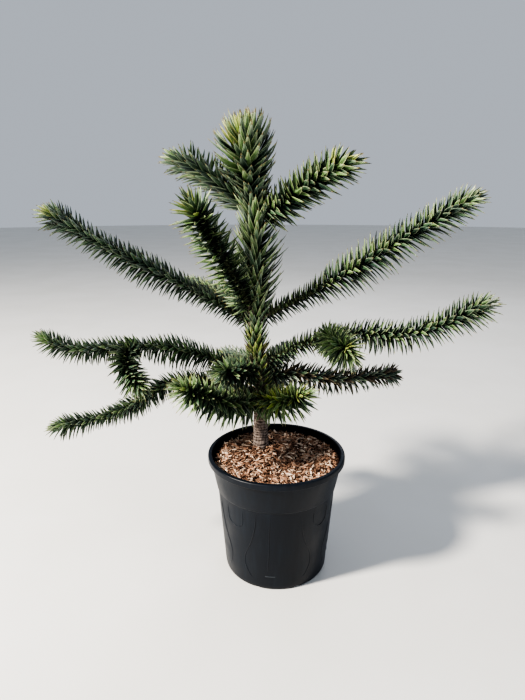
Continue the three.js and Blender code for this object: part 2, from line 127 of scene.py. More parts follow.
def lattice_noise(points: Array, size: float, seed: int) -> Array:
    """Smooth noise from -1 to 1.

    Each corner of a cubic lattice has a random number, and a point takes the mean of the eight
    corners round it, weighted by the smoothstep of its place between them.

    Args:
        points: Places in millimetres, with three numbers on the last axis.
        size: The lattice's pitch in millimetres.
        seed: Chooses the random numbers.

    Returns:
        One number a point.
    """
    table = np.random.default_rng(seed).uniform(-1, 1, NOISE_TABLE)
    cell = np.floor(points / size).astype(np.int64)
    share = smoothstep(points / size - cell)
    total = np.zeros(points.shape[:-1])
    for corner in itertools.product((0, 1), repeat=3):
        key = (cell + corner) @ NOISE_KEYS
        total += np.where(corner, share, 1 - share).prod(-1) * table[key % NOISE_TABLE]
    return total


def linear(hex_colour: str) -> tuple[float, float, float, float]:
    """An sRGB hex colour such as "#3f5f2e" as linear red, green, blue and alpha of 1."""
    shares = [int(hex_colour[i:i + 2], 16) / 255 for i in (1, 3, 5)]
    return (*(s / 12.92 if s <= 0.04045 else ((s + 0.055) / 1.055) ** 2.4 for s in shares), 1.0)


@dataclass
class Surface:
    """One or more closed surfaces as plain arrays.

    Attributes:
        points: Corner places in millimetres, one row each.
        quads: Four corner numbers a face, counter-clockwise from outside.
        triangles: Three corner numbers a face, counter-clockwise from outside.
        quad_coat: Which of the piece's finishes each quad has.
        triangle_coat: Which of the piece's finishes each triangle has.
        traits: Three numbers a corner, which a finish reads from the attribute "traits".
    """

    points: Array
    quads: Array
    triangles: Array
    quad_coat: Array
    triangle_coat: Array
    traits: Array

    @classmethod
    def tubes(cls, rings: Array, start: Array, end: Array, traits: Array | None = None,
              tipped: bool = False) -> "Surface":
        """Tubes carried over rings, each closed by a fan to a point at both ends.

        Args:
            rings: Shape (tubes, rings, columns, 3). Columns run counter-clockwise as seen from
                the tube's end, looking back.
            start: The closing point at the first ring of each tube.
            end: The closing point at the last ring of each tube.
            traits: Three numbers for each ring point, in the same shape as rings.
            tipped: Gives the closing fan at the end of each tube the second finish.

        Returns:
            The tubes, each a closed shell of its own.
        """
        count, ring_count, columns = rings.shape[:3]
        size = ring_count * columns + 2
        points = np.concatenate([rings.reshape(count, -1, 3), start[:, None], end[:, None]], axis=1)
        carried = np.zeros_like(rings) if traits is None else traits
        poles = np.stack([carried[:, 0].mean(1), carried[:, -1].mean(1)], axis=1)
        carried = np.concatenate([carried.reshape(count, -1, 3), poles], axis=1)
        here = np.arange(ring_count * columns).reshape(ring_count, columns)
        right = np.roll(here, -1, axis=1)
        quads = np.stack([here[:-1], right[:-1], right[1:], here[1:]], axis=-1)
        foot = np.stack([right[0], here[0], np.full(columns, size - 2)], axis=-1)
        tip = np.stack([here[-1], right[-1], np.full(columns, size - 1)], axis=-1)
        fan_coat = np.repeat([0, int(tipped)], columns)
        shift = (np.arange(count) * size)[:, None, None]
        return cls(
            points=points.reshape(-1, 3),
            quads=(quads.reshape(1, -1, 4) + shift).reshape(-1, 4),
            triangles=(np.concatenate([foot, tip])[None] + shift).reshape(-1, 3),
            quad_coat=np.zeros(quads[..., 0].size * count, int),
            triangle_coat=np.tile(fan_coat, count),
            traits=carried.reshape(-1, 3),
        )

    @classmethod
    def join(cls, parts: Sequence["Surface"]) -> "Surface":
        """Several surfaces as one.

        Args:
            parts: The surfaces, which stay separate shells.

        Returns:
            The surface that holds them all.
        """
        firsts = np.cumsum([0] + [len(part.points) for part in parts[:-1]])
        return cls(
            points=np.concatenate([p.points for p in parts]),
            quads=np.concatenate([p.quads + first for p, first in zip(parts, firsts)]),
            triangles=np.concatenate([p.triangles + first for p, first in zip(parts, firsts)]),
            quad_coat=np.concatenate([p.quad_coat for p in parts]),
            triangle_coat=np.concatenate([p.triangle_coat for p in parts]),
            traits=np.concatenate([p.traits for p in parts]),
        )

    def mesh(self, name: str, crease: float = 40.0) -> bpy.types.Mesh:
        """The surface as a Blender mesh in metres.

        Args:
            name: The mesh's name.
            crease: Edges sharper than this many degrees stay sharp.

        Returns:
            The mesh, otherwise smooth.
        """
        corners = np.concatenate([self.quads.ravel(), self.triangles.ravel()]).astype(np.int32)
        sides = np.repeat([4, 3], [len(self.quads), len(self.triangles)])
        made = bpy.data.meshes.new(name)
        made.vertices.add(len(self.points))
        made.vertices.foreach_set("co", (self.points * MM).astype(np.float32).ravel())
        made.loops.add(len(corners))
        made.loops.foreach_set("vertex_index", corners)
        made.polygons.add(len(sides))
        made.polygons.foreach_set("loop_start", np.concatenate([[0], np.cumsum(sides)[:-1]]))
        coats = np.concatenate([self.quad_coat, self.triangle_coat]).astype(np.int32)
        made.polygons.foreach_set("material_index", coats)
        carried = made.attributes.new("traits", "FLOAT_VECTOR", "POINT")
        carried.data.foreach_set("vector", self.traits.astype(np.float32).ravel())
        made.update(calc_edges=True)
        made.validate()
        made.shade_smooth()
        made.set_sharp_from_angle(angle=math.radians(crease))
        return made


def add_piece(name: str, surface: Surface, finishes: Sequence[Material],
              stands_for: Sequence[str] = (), crease: float = 40.0) -> None:
    """Adds one piece of the plant or pot.

    Args:
        name: The piece's name.
        surface: Its shape.
        finishes: Its materials, in the order of the surface's coats.
        stands_for: The CAD nodes that it replaces.
        crease: Edges sharper than this many degrees stay sharp.
    """
    mesh = surface.mesh(name, crease)
    for finish in finishes:
        mesh.materials.append(finish)
    piece = bpy.data.objects.new(name, mesh)
    bpy.context.scene.collection.objects.link(piece)
    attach(piece, BODY)
    if stands_for:
        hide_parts(*stands_for)
    log.info("%s: %d triangles", name, 2 * len(surface.quads) + len(surface.triangles))


def live_output(node: bpy.types.Node) -> bpy.types.NodeSocket:
    """A node's first enabled output."""
    return next(output for output in node.outputs if output.enabled)


def add_node(tree: bpy.types.NodeTree, kind: str, inputs: dict | None = None,
             **settings: object) -> bpy.types.Node:
    """Adds one shader node.

    Args:
        tree: The material's or world's node tree.
        kind: The node's type, such as "ShaderNodeTexNoise".
        inputs: For each named or numbered socket a value, an output that is linked in, or a node
            whose live output is linked in.
        settings: The node's own properties.

    Returns:
        The new node.
    """
    made = tree.nodes.new(kind)
    for name, value in settings.items():
        setattr(made, name, value)
    for socket, value in (inputs or {}).items():
        if isinstance(value, bpy.types.Node):
            value = live_output(value)
        if isinstance(value, bpy.types.NodeSocket):
            tree.links.new(value, made.inputs[socket])
        else:
            made.inputs[socket].default_value = value
    return made


# The numbered sockets of a colour Mix node.
MIX_SHARE, MIX_FROM, MIX_TO = 0, 6, 7

# How strongly each finer layer of a shader's noise shows.
NOISE_ROUGHNESS = 0.6

# The range that holds most values of a shader's noise.
NOISE_SPAN = (0.3, 0.7)


class Ease(Enum):
    """The curve that carries one range to another, by its name in a Map Range node."""

    STRAIGHT = "LINEAR"
    SMOOTH = "SMOOTHSTEP"


@dataclass(frozen=True)
class Layer:
    """A colour that shows over those below it where a value says so.

    Attributes:
        value: The node or output that gives the value.
        span: The range of the value over which the colour comes or goes.
        colour: The colour in hex.
        shares: How strongly it shows at the start and at the end of the range.
        ease: The curve that it follows between them.
    """

    value: bpy.types.Node | bpy.types.NodeSocket
    span: tuple[float, float]
    colour: str
    shares: tuple[float, float] = (0.0, 1.0)
    ease: Ease = Ease.SMOOTH


@dataclass(frozen=True)
class Finish:
    """What every finish has.

    Attributes:
        name: The material's name: the real substance and how it was made.
        roughness: From 0, a mirror, to 1, chalk.
        specular: The strength of the clear reflection, 0.5 for most plastics and plant matter.
    """

    name: str
    roughness: float
    specular: float = 0.5

    def begin(self) -> tuple[Material, bpy.types.NodeTree, bpy.types.Node]:
        """Starts the material.

        Returns:
            The material, its node tree and its principled shader.
        """
        made = bpy.data.materials.new(self.name)
        made.use_nodes = True
        tree = made.node_tree
        tree.nodes.clear()
        shader = add_node(tree, "ShaderNodeBsdfPrincipled", {
            "Roughness": self.roughness, "Specular IOR Level": self.specular})
        add_node(tree, "ShaderNodeOutputMaterial", {"Surface": shader})
        return made, tree, shader

    @staticmethod
    def noises(tree: bpy.types.NodeTree, *sizes: tuple[float, float],
               squeeze: float = 1.0) -> list[bpy.types.Node]:
        """Patterns from 0 to 1 that lie fixed in the object.

        Args:
            tree: The material's node tree.
            sizes: For each its lumps' width in millimetres, and how many finer layers it has.
            squeeze: How much they are slowed along the height, which draws them out to streaks.

        Returns:
            A node for each.
        """
        place = add_node(tree, "ShaderNodeTexCoord").outputs["Object"]
        eased = add_node(tree, "ShaderNodeMapping", {
            "Vector": place, "Scale": (1.0, 1.0, squeeze)})
        return [add_node(tree, "ShaderNodeTexNoise", {
            "Vector": eased, "Scale": 1 / (width * MM), "Detail": detail,
            "Roughness": NOISE_ROUGHNESS}) for width, detail in sizes]

    @staticmethod
    def traits(tree: bpy.types.NodeTree) -> bpy.types.NodeOutputs | list:
        """The three numbers that each corner of the mesh carries."""
        read = add_node(tree, "ShaderNodeAttribute", attribute_name="traits")
        return add_node(tree, "ShaderNodeSeparateXYZ", {0: read.outputs["Vector"]}).outputs

    @staticmethod
    def dress(tree: bpy.types.NodeTree, shader: bpy.types.Node, base: str,
              layers: Sequence[Layer], height: bpy.types.Node,
              relief: tuple[float, float]) -> None:
        """Gives the shader its colour, laid on in layers, and its fine relief.

        Args:
            tree: The material's node tree.
            shader: The principled shader.
            base: The colour under the layers in hex.
            layers: The layers, the lowest first.
            height: The relief's height, from 0 to about 1.
            relief: Its depth in millimetres, and how much of it shows.
        """
        below: tuple | bpy.types.Node = linear(base)
        for layer in layers:
            share = add_node(tree, "ShaderNodeMapRange", {
                "Value": layer.value, "From Min": layer.span[0], "From Max": layer.span[1],
                "To Min": layer.shares[0], "To Max": layer.shares[1],
            }, interpolation_type=layer.ease.value)
            below = add_node(tree, "ShaderNodeMix", {
                MIX_SHARE: share, MIX_FROM: below, MIX_TO: linear(layer.colour)}, data_type="RGBA")
        tree.links.new(live_output(below), shader.inputs["Base Color"])
        bump = add_node(tree, "ShaderNodeBump", {
            "Height": height, "Distance": relief[0] * MM, "Strength": relief[1]})
        tree.links.new(live_output(bump), shader.inputs["Normal"])

    def vary_gloss(self, tree: bpy.types.NodeTree, shader: bpy.types.Node,
                   patches: bpy.types.Node, spread: tuple[float, float]) -> None:
        """Lets the roughness change from patch to patch.

        Args:
            tree: The material's node tree.
            shader: The principled shader.
            patches: The noise that it follows.
            spread: How far the smoothest and the roughest patch lie off the finish's roughness.
        """
        gloss = add_node(tree, "ShaderNodeMapRange", {
            "Value": patches, "From Min": NOISE_SPAN[0], "From Max": NOISE_SPAN[1],
            "To Min": self.roughness + spread[0], "To Max": self.roughness + spread[1],
        }, interpolation_type=Ease.SMOOTH.value)
        tree.links.new(live_output(gloss), shader.inputs["Roughness"])


@dataclass(frozen=True, kw_only=True)
class LeafFinish(Finish):
    """A stiff evergreen leaf under a waxy cuticle: satin, with a paler rim and fine long veins. The
    rim's paleness is partly painted highlight along its edges.

    Its traits are the place across the leaf from -1 to 1, the share along it, and a chance value
    that shades each leaf a little off its neighbours.

    Attributes:
        dark, light: The darkest and the lightest shade of its body.
        rim: The colour of its edges, which its point has more faintly. On the edges it is partly
            painted highlight.
        wax, wax_roughness: The strength and the roughness of the waxy coat.
        mottling: Its patches' width in millimetres, and how many finer layers they have.
        chance_weight: How much the chance value counts beside the patches.
        tone_span: The sums of both that give the darkest and the lightest shade.
        pale_span: Where its rim and its point pale, as shares of half its width and its length.
        rim_share, point_share: How strongly the rim's colour shows on each.
        foot_span: The stretch of its length over which the painted shade at its foot fades out.
        foot_share: How dark that painted shade is, where the neighbours cover the foot.
        veins: The veins' wave from the middle line to the edge in radians, for about seven veins.
            Real ones are more and too fine to show.
        vein_weight: How much they stand out beside the patches.
        relief: Their relief in millimetres, and how much of it shows.
        gloss_spread: How the patches change its roughness.
    """

    dark: str
    light: str
    rim: str
    wax: float = 0.2
    wax_roughness: float = 0.3
    mottling: tuple = (7.0, 3.0)
    chance_weight: float = 0.7
    tone_span: tuple = (0.35, 1.3)
    pale_span: tuple = (0.6, 1.0)
    rim_share: float = 0.75
    point_share: float = 0.4
    foot_span: tuple = (0.1, 0.5)
    foot_share: float = 0.8
    veins: float = 22.0
    vein_weight: float = 0.3
    relief: tuple = (0.25, 0.5)
    gloss_spread: tuple = (-0.07, 0.1)

    def material(self) -> Material:
        """Makes the leaf's material.

        Returns:
            The material.
        """
        made, tree, shader = self.begin()
        across, share, chance = self.traits(tree)
        mottle, = self.noises(tree, self.mottling)
        shade = add_node(tree, "ShaderNodeMath", {0: chance, 1: self.chance_weight, 2: mottle},
                         operation="MULTIPLY_ADD")
        edge = add_node(tree, "ShaderNodeMath", {0: across}, operation="ABSOLUTE")
        phase = add_node(tree, "ShaderNodeMath", {0: across, 1: self.veins}, operation="MULTIPLY")
        wave = add_node(tree, "ShaderNodeMath", {0: phase}, operation="SINE")
        height = add_node(tree, "ShaderNodeMath", {0: wave, 1: self.vein_weight, 2: mottle},
                          operation="MULTIPLY_ADD")
        self.dress(tree, shader, self.dark, (
            Layer(shade, self.tone_span, self.light),
            # The paler rim is partly the leaf's own margin and partly painted highlight.
            Layer(edge, self.pale_span, self.rim, (0.0, self.rim_share)),
            Layer(share, self.pale_span, self.rim, (0.0, self.point_share)),
            # Painted shade: the foot darkens where the neighbouring leaves cover it.
            Layer(share, self.foot_span, self.dark, (self.foot_share, 0.0)),
        ), height, self.relief)
        self.vary_gloss(tree, shader, mottle, self.gloss_spread)
        shader.inputs["Coat Weight"].default_value = self.wax
        shader.inputs["Coat Roughness"].default_value = self.wax_roughness
        return made


@dataclass(frozen=True)
class SpineFinish(Finish):
    """The hard dry point of a leaf: horn-like, straw to brown.

    Attributes:
        dark, light: Its brown and its straw.
        mottling: Its patches' width in millimetres, and how many finer layers they have.
        tone_span: The noise values that give the brown and the straw.
        relief: Its relief in millimetres, and how much of it shows.
    """

    dark: str = "#4c452f"
    light: str = "#8f8560"
    mottling: tuple = (5.0, 3.0)
    tone_span: tuple = (0.35, 0.65)
    relief: tuple = (0.1, 0.4)

    def material(self) -> Material:
        """Makes the leaf point's material.

        Returns:
            The material.
        """
        made, tree, shader = self.begin()
        mottle, = self.noises(tree, self.mottling)
        straw = Layer(mottle, self.tone_span, self.light)
        self.dress(tree, shader, self.dark, [straw], mottle, self.relief)
        return made


@dataclass(frozen=True)
class BarkFinish(Finish):
    """Young corky bark: dull brown, dark in its creases with its own brown and painted shade,
    greener where it is youngest.

    Its traits are the mesh's relief from -1 to 1 and the share of green.

    Attributes:
        crease, ridge: The brown of its creases, which also carries painted shade, and of its
            ridges.
        fleck: The pale flecks of loose cork.
        green: The colour of the youngest bark.
        patches, grit: For its patches and its flecks, their width in millimetres and how many
            finer layers they have.
        relief_weight: How much the mesh's relief counts beside the patches.
        tone_span: The sums of both that give the crease's and the ridge's brown.
        fleck_span: The noise values where a fleck begins and where it is full.
        fleck_share: How strongly flecks show.
        relief: Their relief in millimetres, and how much of it shows.
    """

    crease: str = "#30251f"
    ridge: str = "#8d8078"
    fleck: str = "#c9b5a6"
    green: str = "#55603c"
    patches: tuple = (6.0, 3.0)
    grit: tuple = (1.3, 2.0)
    relief_weight: float = 0.5
    tone_span: tuple = (0.1, 0.95)
    fleck_span: tuple = (0.6, 0.8)
    fleck_share: float = 0.6
    relief: tuple = (0.5, 0.8)

    def material(self) -> Material:
        """Makes the bark's material.

        Returns:
            The material.
        """
        made, tree, shader = self.begin()
        carved, youth, _ = self.traits(tree)
        patches, grit = self.noises(tree, self.patches, self.grit)
        # Partly painted shade: the mesh's relief darkens the creases towards the crease's brown.
        shade = add_node(tree, "ShaderNodeMath", {0: carved, 1: self.relief_weight, 2: patches},
                         operation="MULTIPLY_ADD")
        self.dress(tree, shader, self.crease, (
            Layer(shade, self.tone_span, self.ridge),
            Layer(grit, self.fleck_span, self.fleck, (0.0, self.fleck_share)),
            Layer(youth, (0.0, 1.0), self.green, ease=Ease.STRAIGHT),
        ), grit, self.relief)
        return made


@dataclass(frozen=True, kw_only=True)
class ChipFinish(Finish):
    """Shredded conifer bark: dry, matt and fibrous, each chip of its own shade.

    Its traits are one chance value for each chip, three times over.

    Attributes:
        dark, light: The darkest and the lightest shade of a chip.
        fibres: Its fibres' width in millimetres, and how many finer layers they have. Real ones
            are too fine to show.
        chance_weight: How much the chance value counts beside the fibres.
        tone_span: The sums of both that give the darkest and the lightest shade.
        relief: The fibres' relief in millimetres, and how much of it shows.
    """

    dark: str
    light: str
    fibres: tuple = (1.6, 4.0)
    chance_weight: float = 0.8
    tone_span: tuple = (0.3, 1.3)
    relief: tuple = (0.5, 0.8)

    def material(self) -> Material:
        """Makes the chips' material.

        Returns:
            The material.
        """
        made, tree, shader = self.begin()
        chance = self.traits(tree)[0]
        fibre, = self.noises(tree, self.fibres)
        shade = add_node(tree, "ShaderNodeMath", {0: chance, 1: self.chance_weight, 2: fibre},
                         operation="MULTIPLY_ADD")
        tone = Layer(shade, self.tone_span, self.light)
        self.dress(tree, shader, self.dark, [tone], fibre, self.relief)
        return made


@dataclass(frozen=True)
class SoilFinish(Finish):
    """Peat-based potting mix: nearly black crumbs with brown fibres.

    Attributes:
        dark, light: The colour of the crumbs and of the fibres.
        crumbs: Their width in millimetres, and how many finer layers they have.
        tone_span: The noise values that give the crumbs' and the fibres' colour.
        relief: The crumbs' relief in millimetres, and how much of it shows.
    """

    dark: str = "#241a14"
    light: str = "#4d3a2c"
    crumbs: tuple = (3.0, 5.0)
    tone_span: tuple = (0.35, 0.7)
    relief: tuple = (1.5, 1.0)

    def material(self) -> Material:
        """Makes the mix's material.

        Returns:
            The material.
        """
        made, tree, shader = self.begin()
        crumbs, = self.noises(tree, self.crumbs)
        fibres = Layer(crumbs, self.tone_span, self.light)
        self.dress(tree, shader, self.dark, [fibres], crumbs, self.relief)
        return made


@dataclass(frozen=True)
class PotFinish(Finish):
    """Injection-moulded recycled polypropylene: charcoal, satin, under a film of dust. Both colours
    carry a bluish cast as a painted reflection.

    The dust lies in soft patches and in faint streaks that rain drew down the wall.

    Attributes:
        plastic, dust: The colour of each, both tinted blue as a painted reflection.
        patches, specks, grain, streaks: For the dust's patches and specks, the mould's grain and
            the dust's streaks, their width in millimetres and how many finer layers they have.
            The real grain is too fine to show.
        streak_squeeze: How much the streaks are slowed along the height.
        patch_weight: How much the patches count beside the streaks.
        film_span: The sums of both where the film begins and where it is full.
        film_share: How strongly it shows.
        speck_span: The noise values where a speck begins and where it is full.
        speck_share: How strongly specks show.
        relief: The grain's relief in millimetres, and how much of it shows.
        gloss_spread: How the patches change its roughness.
    """

    # Both colours carry a bluish cast that paints a reflection onto the charcoal plastic and its
    # dust.
    plastic: str = "#070e18"
    dust: str = "#2f3d4a"
    patches: tuple = (55.0, 4.0)
    specks: tuple = (2.4, 2.0)
    grain: tuple = (0.7, 3.0)
    streaks: tuple = (9.0, 3.0)
    streak_squeeze: float = 0.08
    patch_weight: float = 0.9
    film_span: tuple = (0.8, 1.4)
    film_share: float = 0.12
    speck_span: tuple = (0.7, 0.78)
    speck_share: float = 0.3
    relief: tuple = (0.05, 0.5)
    gloss_spread: tuple = (-0.06, 0.1)

    def material(self) -> Material:
        """Makes the pot's material.

        Returns:
            The material.
        """
        made, tree, shader = self.begin()
        patches, specks, grain = self.noises(tree, self.patches, self.specks, self.grain)
        streaks, = self.noises(tree, self.streaks, squeeze=self.streak_squeeze)
        film = add_node(tree, "ShaderNodeMath", {0: patches, 1: self.patch_weight, 2: streaks},
                        operation="MULTIPLY_ADD")
        self.dress(tree, shader, self.plastic, (
            Layer(film, self.film_span, self.dust, (0.0, self.film_share)),
            Layer(specks, self.speck_span, self.dust, (0.0, self.speck_share)),
        ), grain, self.relief)
        self.vary_gloss(tree, shader, patches, self.gloss_spread)
        return made


@dataclass(frozen=True)
class FloorFinish(Finish):
    """A painted plaster floor: pale, matt and nearly even.

    Attributes:
        paint, worn: The paint's colour, and its colour where it is worn.
        clouds, grain: For the worn patches and the plaster's grain, their width in millimetres
            and how many finer layers they have. The real grain is too fine to show.
        relief: The grain's relief in millimetres, and how much of it shows.
    """

    paint: str = "#dbdad7"
    worn: str = "#d6d5d1"
    clouds: tuple = (400.0, 3.0)
    grain: tuple = (3.0, 3.0)
    relief: tuple = (0.2, 0.3)

    def material(self) -> Material:
        """Makes the floor's material.

        Returns:
            The material.
        """
        made, tree, shader = self.begin()
        clouds, grain = self.noises(tree, self.clouds, self.grain)
        wear = Layer(clouds, NOISE_SPAN, self.worn)
        self.dress(tree, shader, self.paint, [wear], grain, self.relief)
        return made


class Tone(Enum):
    """The kinds of leaf by age and colour. Each kind is one piece of the scene."""

    DEEP = "leaves_deep"
    MATURE = "leaves_mature"
    FRESH = "leaves_fresh"
    # Pale yellow-green of young leaves, also dealt as painted sunlight to leaves that face the key
    # lamp.
    SUNLIT = "leaves_sunlit"
    YELLOWED = "leaves_yellowed"
    DRY = "leaves_dry"


LEAF_FINISHES = {
    Tone.DEEP: LeafFinish("old waxy leaf", 0.36, dark="#0d1813", light="#2f4438", rim="#7d8f7b"),
    Tone.MATURE: LeafFinish("mature waxy leaf", 0.36, dark="#15251b", light="#476147",
                            rim="#a6b596"),
    Tone.FRESH: LeafFinish("young waxy leaf", 0.38, dark="#223824", light="#6b8855",
                           rim="#c2cb9f"),
    Tone.SUNLIT: LeafFinish("sun-bleached waxy leaf", 0.4, dark="#384f2b", light="#83984f",
                            rim="#d6cf88"),
    Tone.YELLOWED: LeafFinish("yellowed old leaf", 0.5, dark="#585a38", light="#a09f63",
                              rim="#cfca93", wax=0.0),
    Tone.DRY: LeafFinish("dead dry leaf", 0.7, specular=0.3, dark="#1d1915", light="#4e463b",
                         rim="#736855", wax=0.0),
}


class Tint(Enum):
    """How the leaves of a spray are dealt out among the tones, on its body and at its tip."""

    SHADED = ({Tone.DEEP: 7, Tone.MATURE: 3}, {Tone.MATURE: 4, Tone.FRESH: 5, Tone.SUNLIT: 1})
    GREEN = ({Tone.DEEP: 4, Tone.MATURE: 6, Tone.FRESH: 1}, {Tone.MATURE: 3, Tone.FRESH: 6})
    BRIGHT = ({Tone.DEEP: 1, Tone.MATURE: 5, Tone.FRESH: 5},
              {Tone.MATURE: 1, Tone.FRESH: 8, Tone.SUNLIT: 1})
    YOUNG = ({Tone.MATURE: 2, Tone.FRESH: 7, Tone.SUNLIT: 1},
             {Tone.MATURE: 1, Tone.FRESH: 8, Tone.SUNLIT: 1})
    SUNNY = ({Tone.MATURE: 5, Tone.FRESH: 5},
             {Tone.MATURE: 3, Tone.FRESH: 6, Tone.SUNLIT: 3})
    FADED = ({Tone.MATURE: 4, Tone.FRESH: 4, Tone.SUNLIT: 3, Tone.YELLOWED: 2, Tone.DRY: 1},
             {Tone.SUNLIT: 1})
    DYING = ({Tone.DRY: 4, Tone.DEEP: 6, Tone.MATURE: 2}, {Tone.DEEP: 4, Tone.DRY: 3})

    def deal(self, near_tip: Array, draw: Array) -> Array:
        """The tone of each leaf.

        Args:
            near_tip: From 0 on the body to 1 at the tip, one a leaf.
            draw: A random number from 0 to 1, one a leaf.

        Returns:
            The number of each leaf's tone in the order of Tone.
        """
        shares = [np.array([part.get(tone, 0.0) for tone in Tone]) for part in self.value]
        body, tip = (share / share.sum() for share in shares)
        chances = body + (tip - body) * near_tip[:, None]
        return (draw[:, None] > np.cumsum(chances, axis=1)).sum(1).clip(0, len(Tone) - 1)


@dataclass
class Stations:
    """Places along stems, one row each, with a right-handed set of directions.

    Attributes:
        middle: The places, on the stems' middle lines.
        way: The stem's forward direction at each.
        side, up: The two directions across it.
    """

    middle: Array
    way: Array
    side: Array
    up: Array

    def rings(self, radius: Array, columns: int) -> Array:
        """Rings of points round each place, counter-clockwise about its forward way.

        Args:
            radius: Shape (places, 1) or (places, columns).
            columns: How many points a ring has.

        Returns:
            Points in the shape (places, columns, 3).
        """
        turn = even_turn(columns)[:, None]
        across = self.side[:, None] * np.cos(turn) + self.up[:, None] * np.sin(turn)
        return self.middle[:, None] + across * radius[..., None]


# How many equal steps every spine has.
SPINE_STEPS = 40


@dataclass
class Spine:
    """A limb's middle line, which marches out from its root in equal steps.

    Attributes:
        points: The root and the end of each step.
        ways: The forward direction at each point.
        length: The sum of the steps.
    """

    points: Array
    ways: Array
    length: float

    @classmethod
    def grow(cls, root: Array, heading: Sequence[float], rise: Sequence[float],
             length: float) -> "Spine":
        """Marches a spine out from its root.

        A step at share s goes (cos h cos r, sin h cos r, sin r), with h and r the heading and the
        rise at s.

        Args:
            root: Where the spine starts.
            heading: Evenly spaced compass angles from foot to tip, in degrees from +X.
            rise: Evenly spaced angles above the level, in degrees.
            length: The spine's length.

        Returns:
            The spine.
        """
        share = (np.arange(SPINE_STEPS) + 0.5) / SPINE_STEPS
        ways = direction(np.radians(along(heading, share)), np.radians(along(rise, share)))
        steps = np.cumsum(ways, axis=0) * length / SPINE_STEPS
        return cls(np.vstack([root, root + steps]), np.vstack([ways, ways[-1:]]), length)

    def at(self, distance: Array) -> Stations:
        """The places at some distances along the spine.

        Args:
            distance: How far along it each place lies.

        Returns:
            The places, with side level and up above it.
        """
        place = np.clip(distance / self.length, 0, 1) * SPINE_STEPS
        low = np.minimum(place.astype(int), SPINE_STEPS - 1)
        share = (place - low)[:, None]
        middle = blend(self.points[low], self.points[low + 1], share)
        way = unit(blend(self.ways[low], self.ways[low + 1], share))
        side = unit(np.cross(WORLD_UP, way))
        return Stations(middle, way, side, np.cross(way, side))


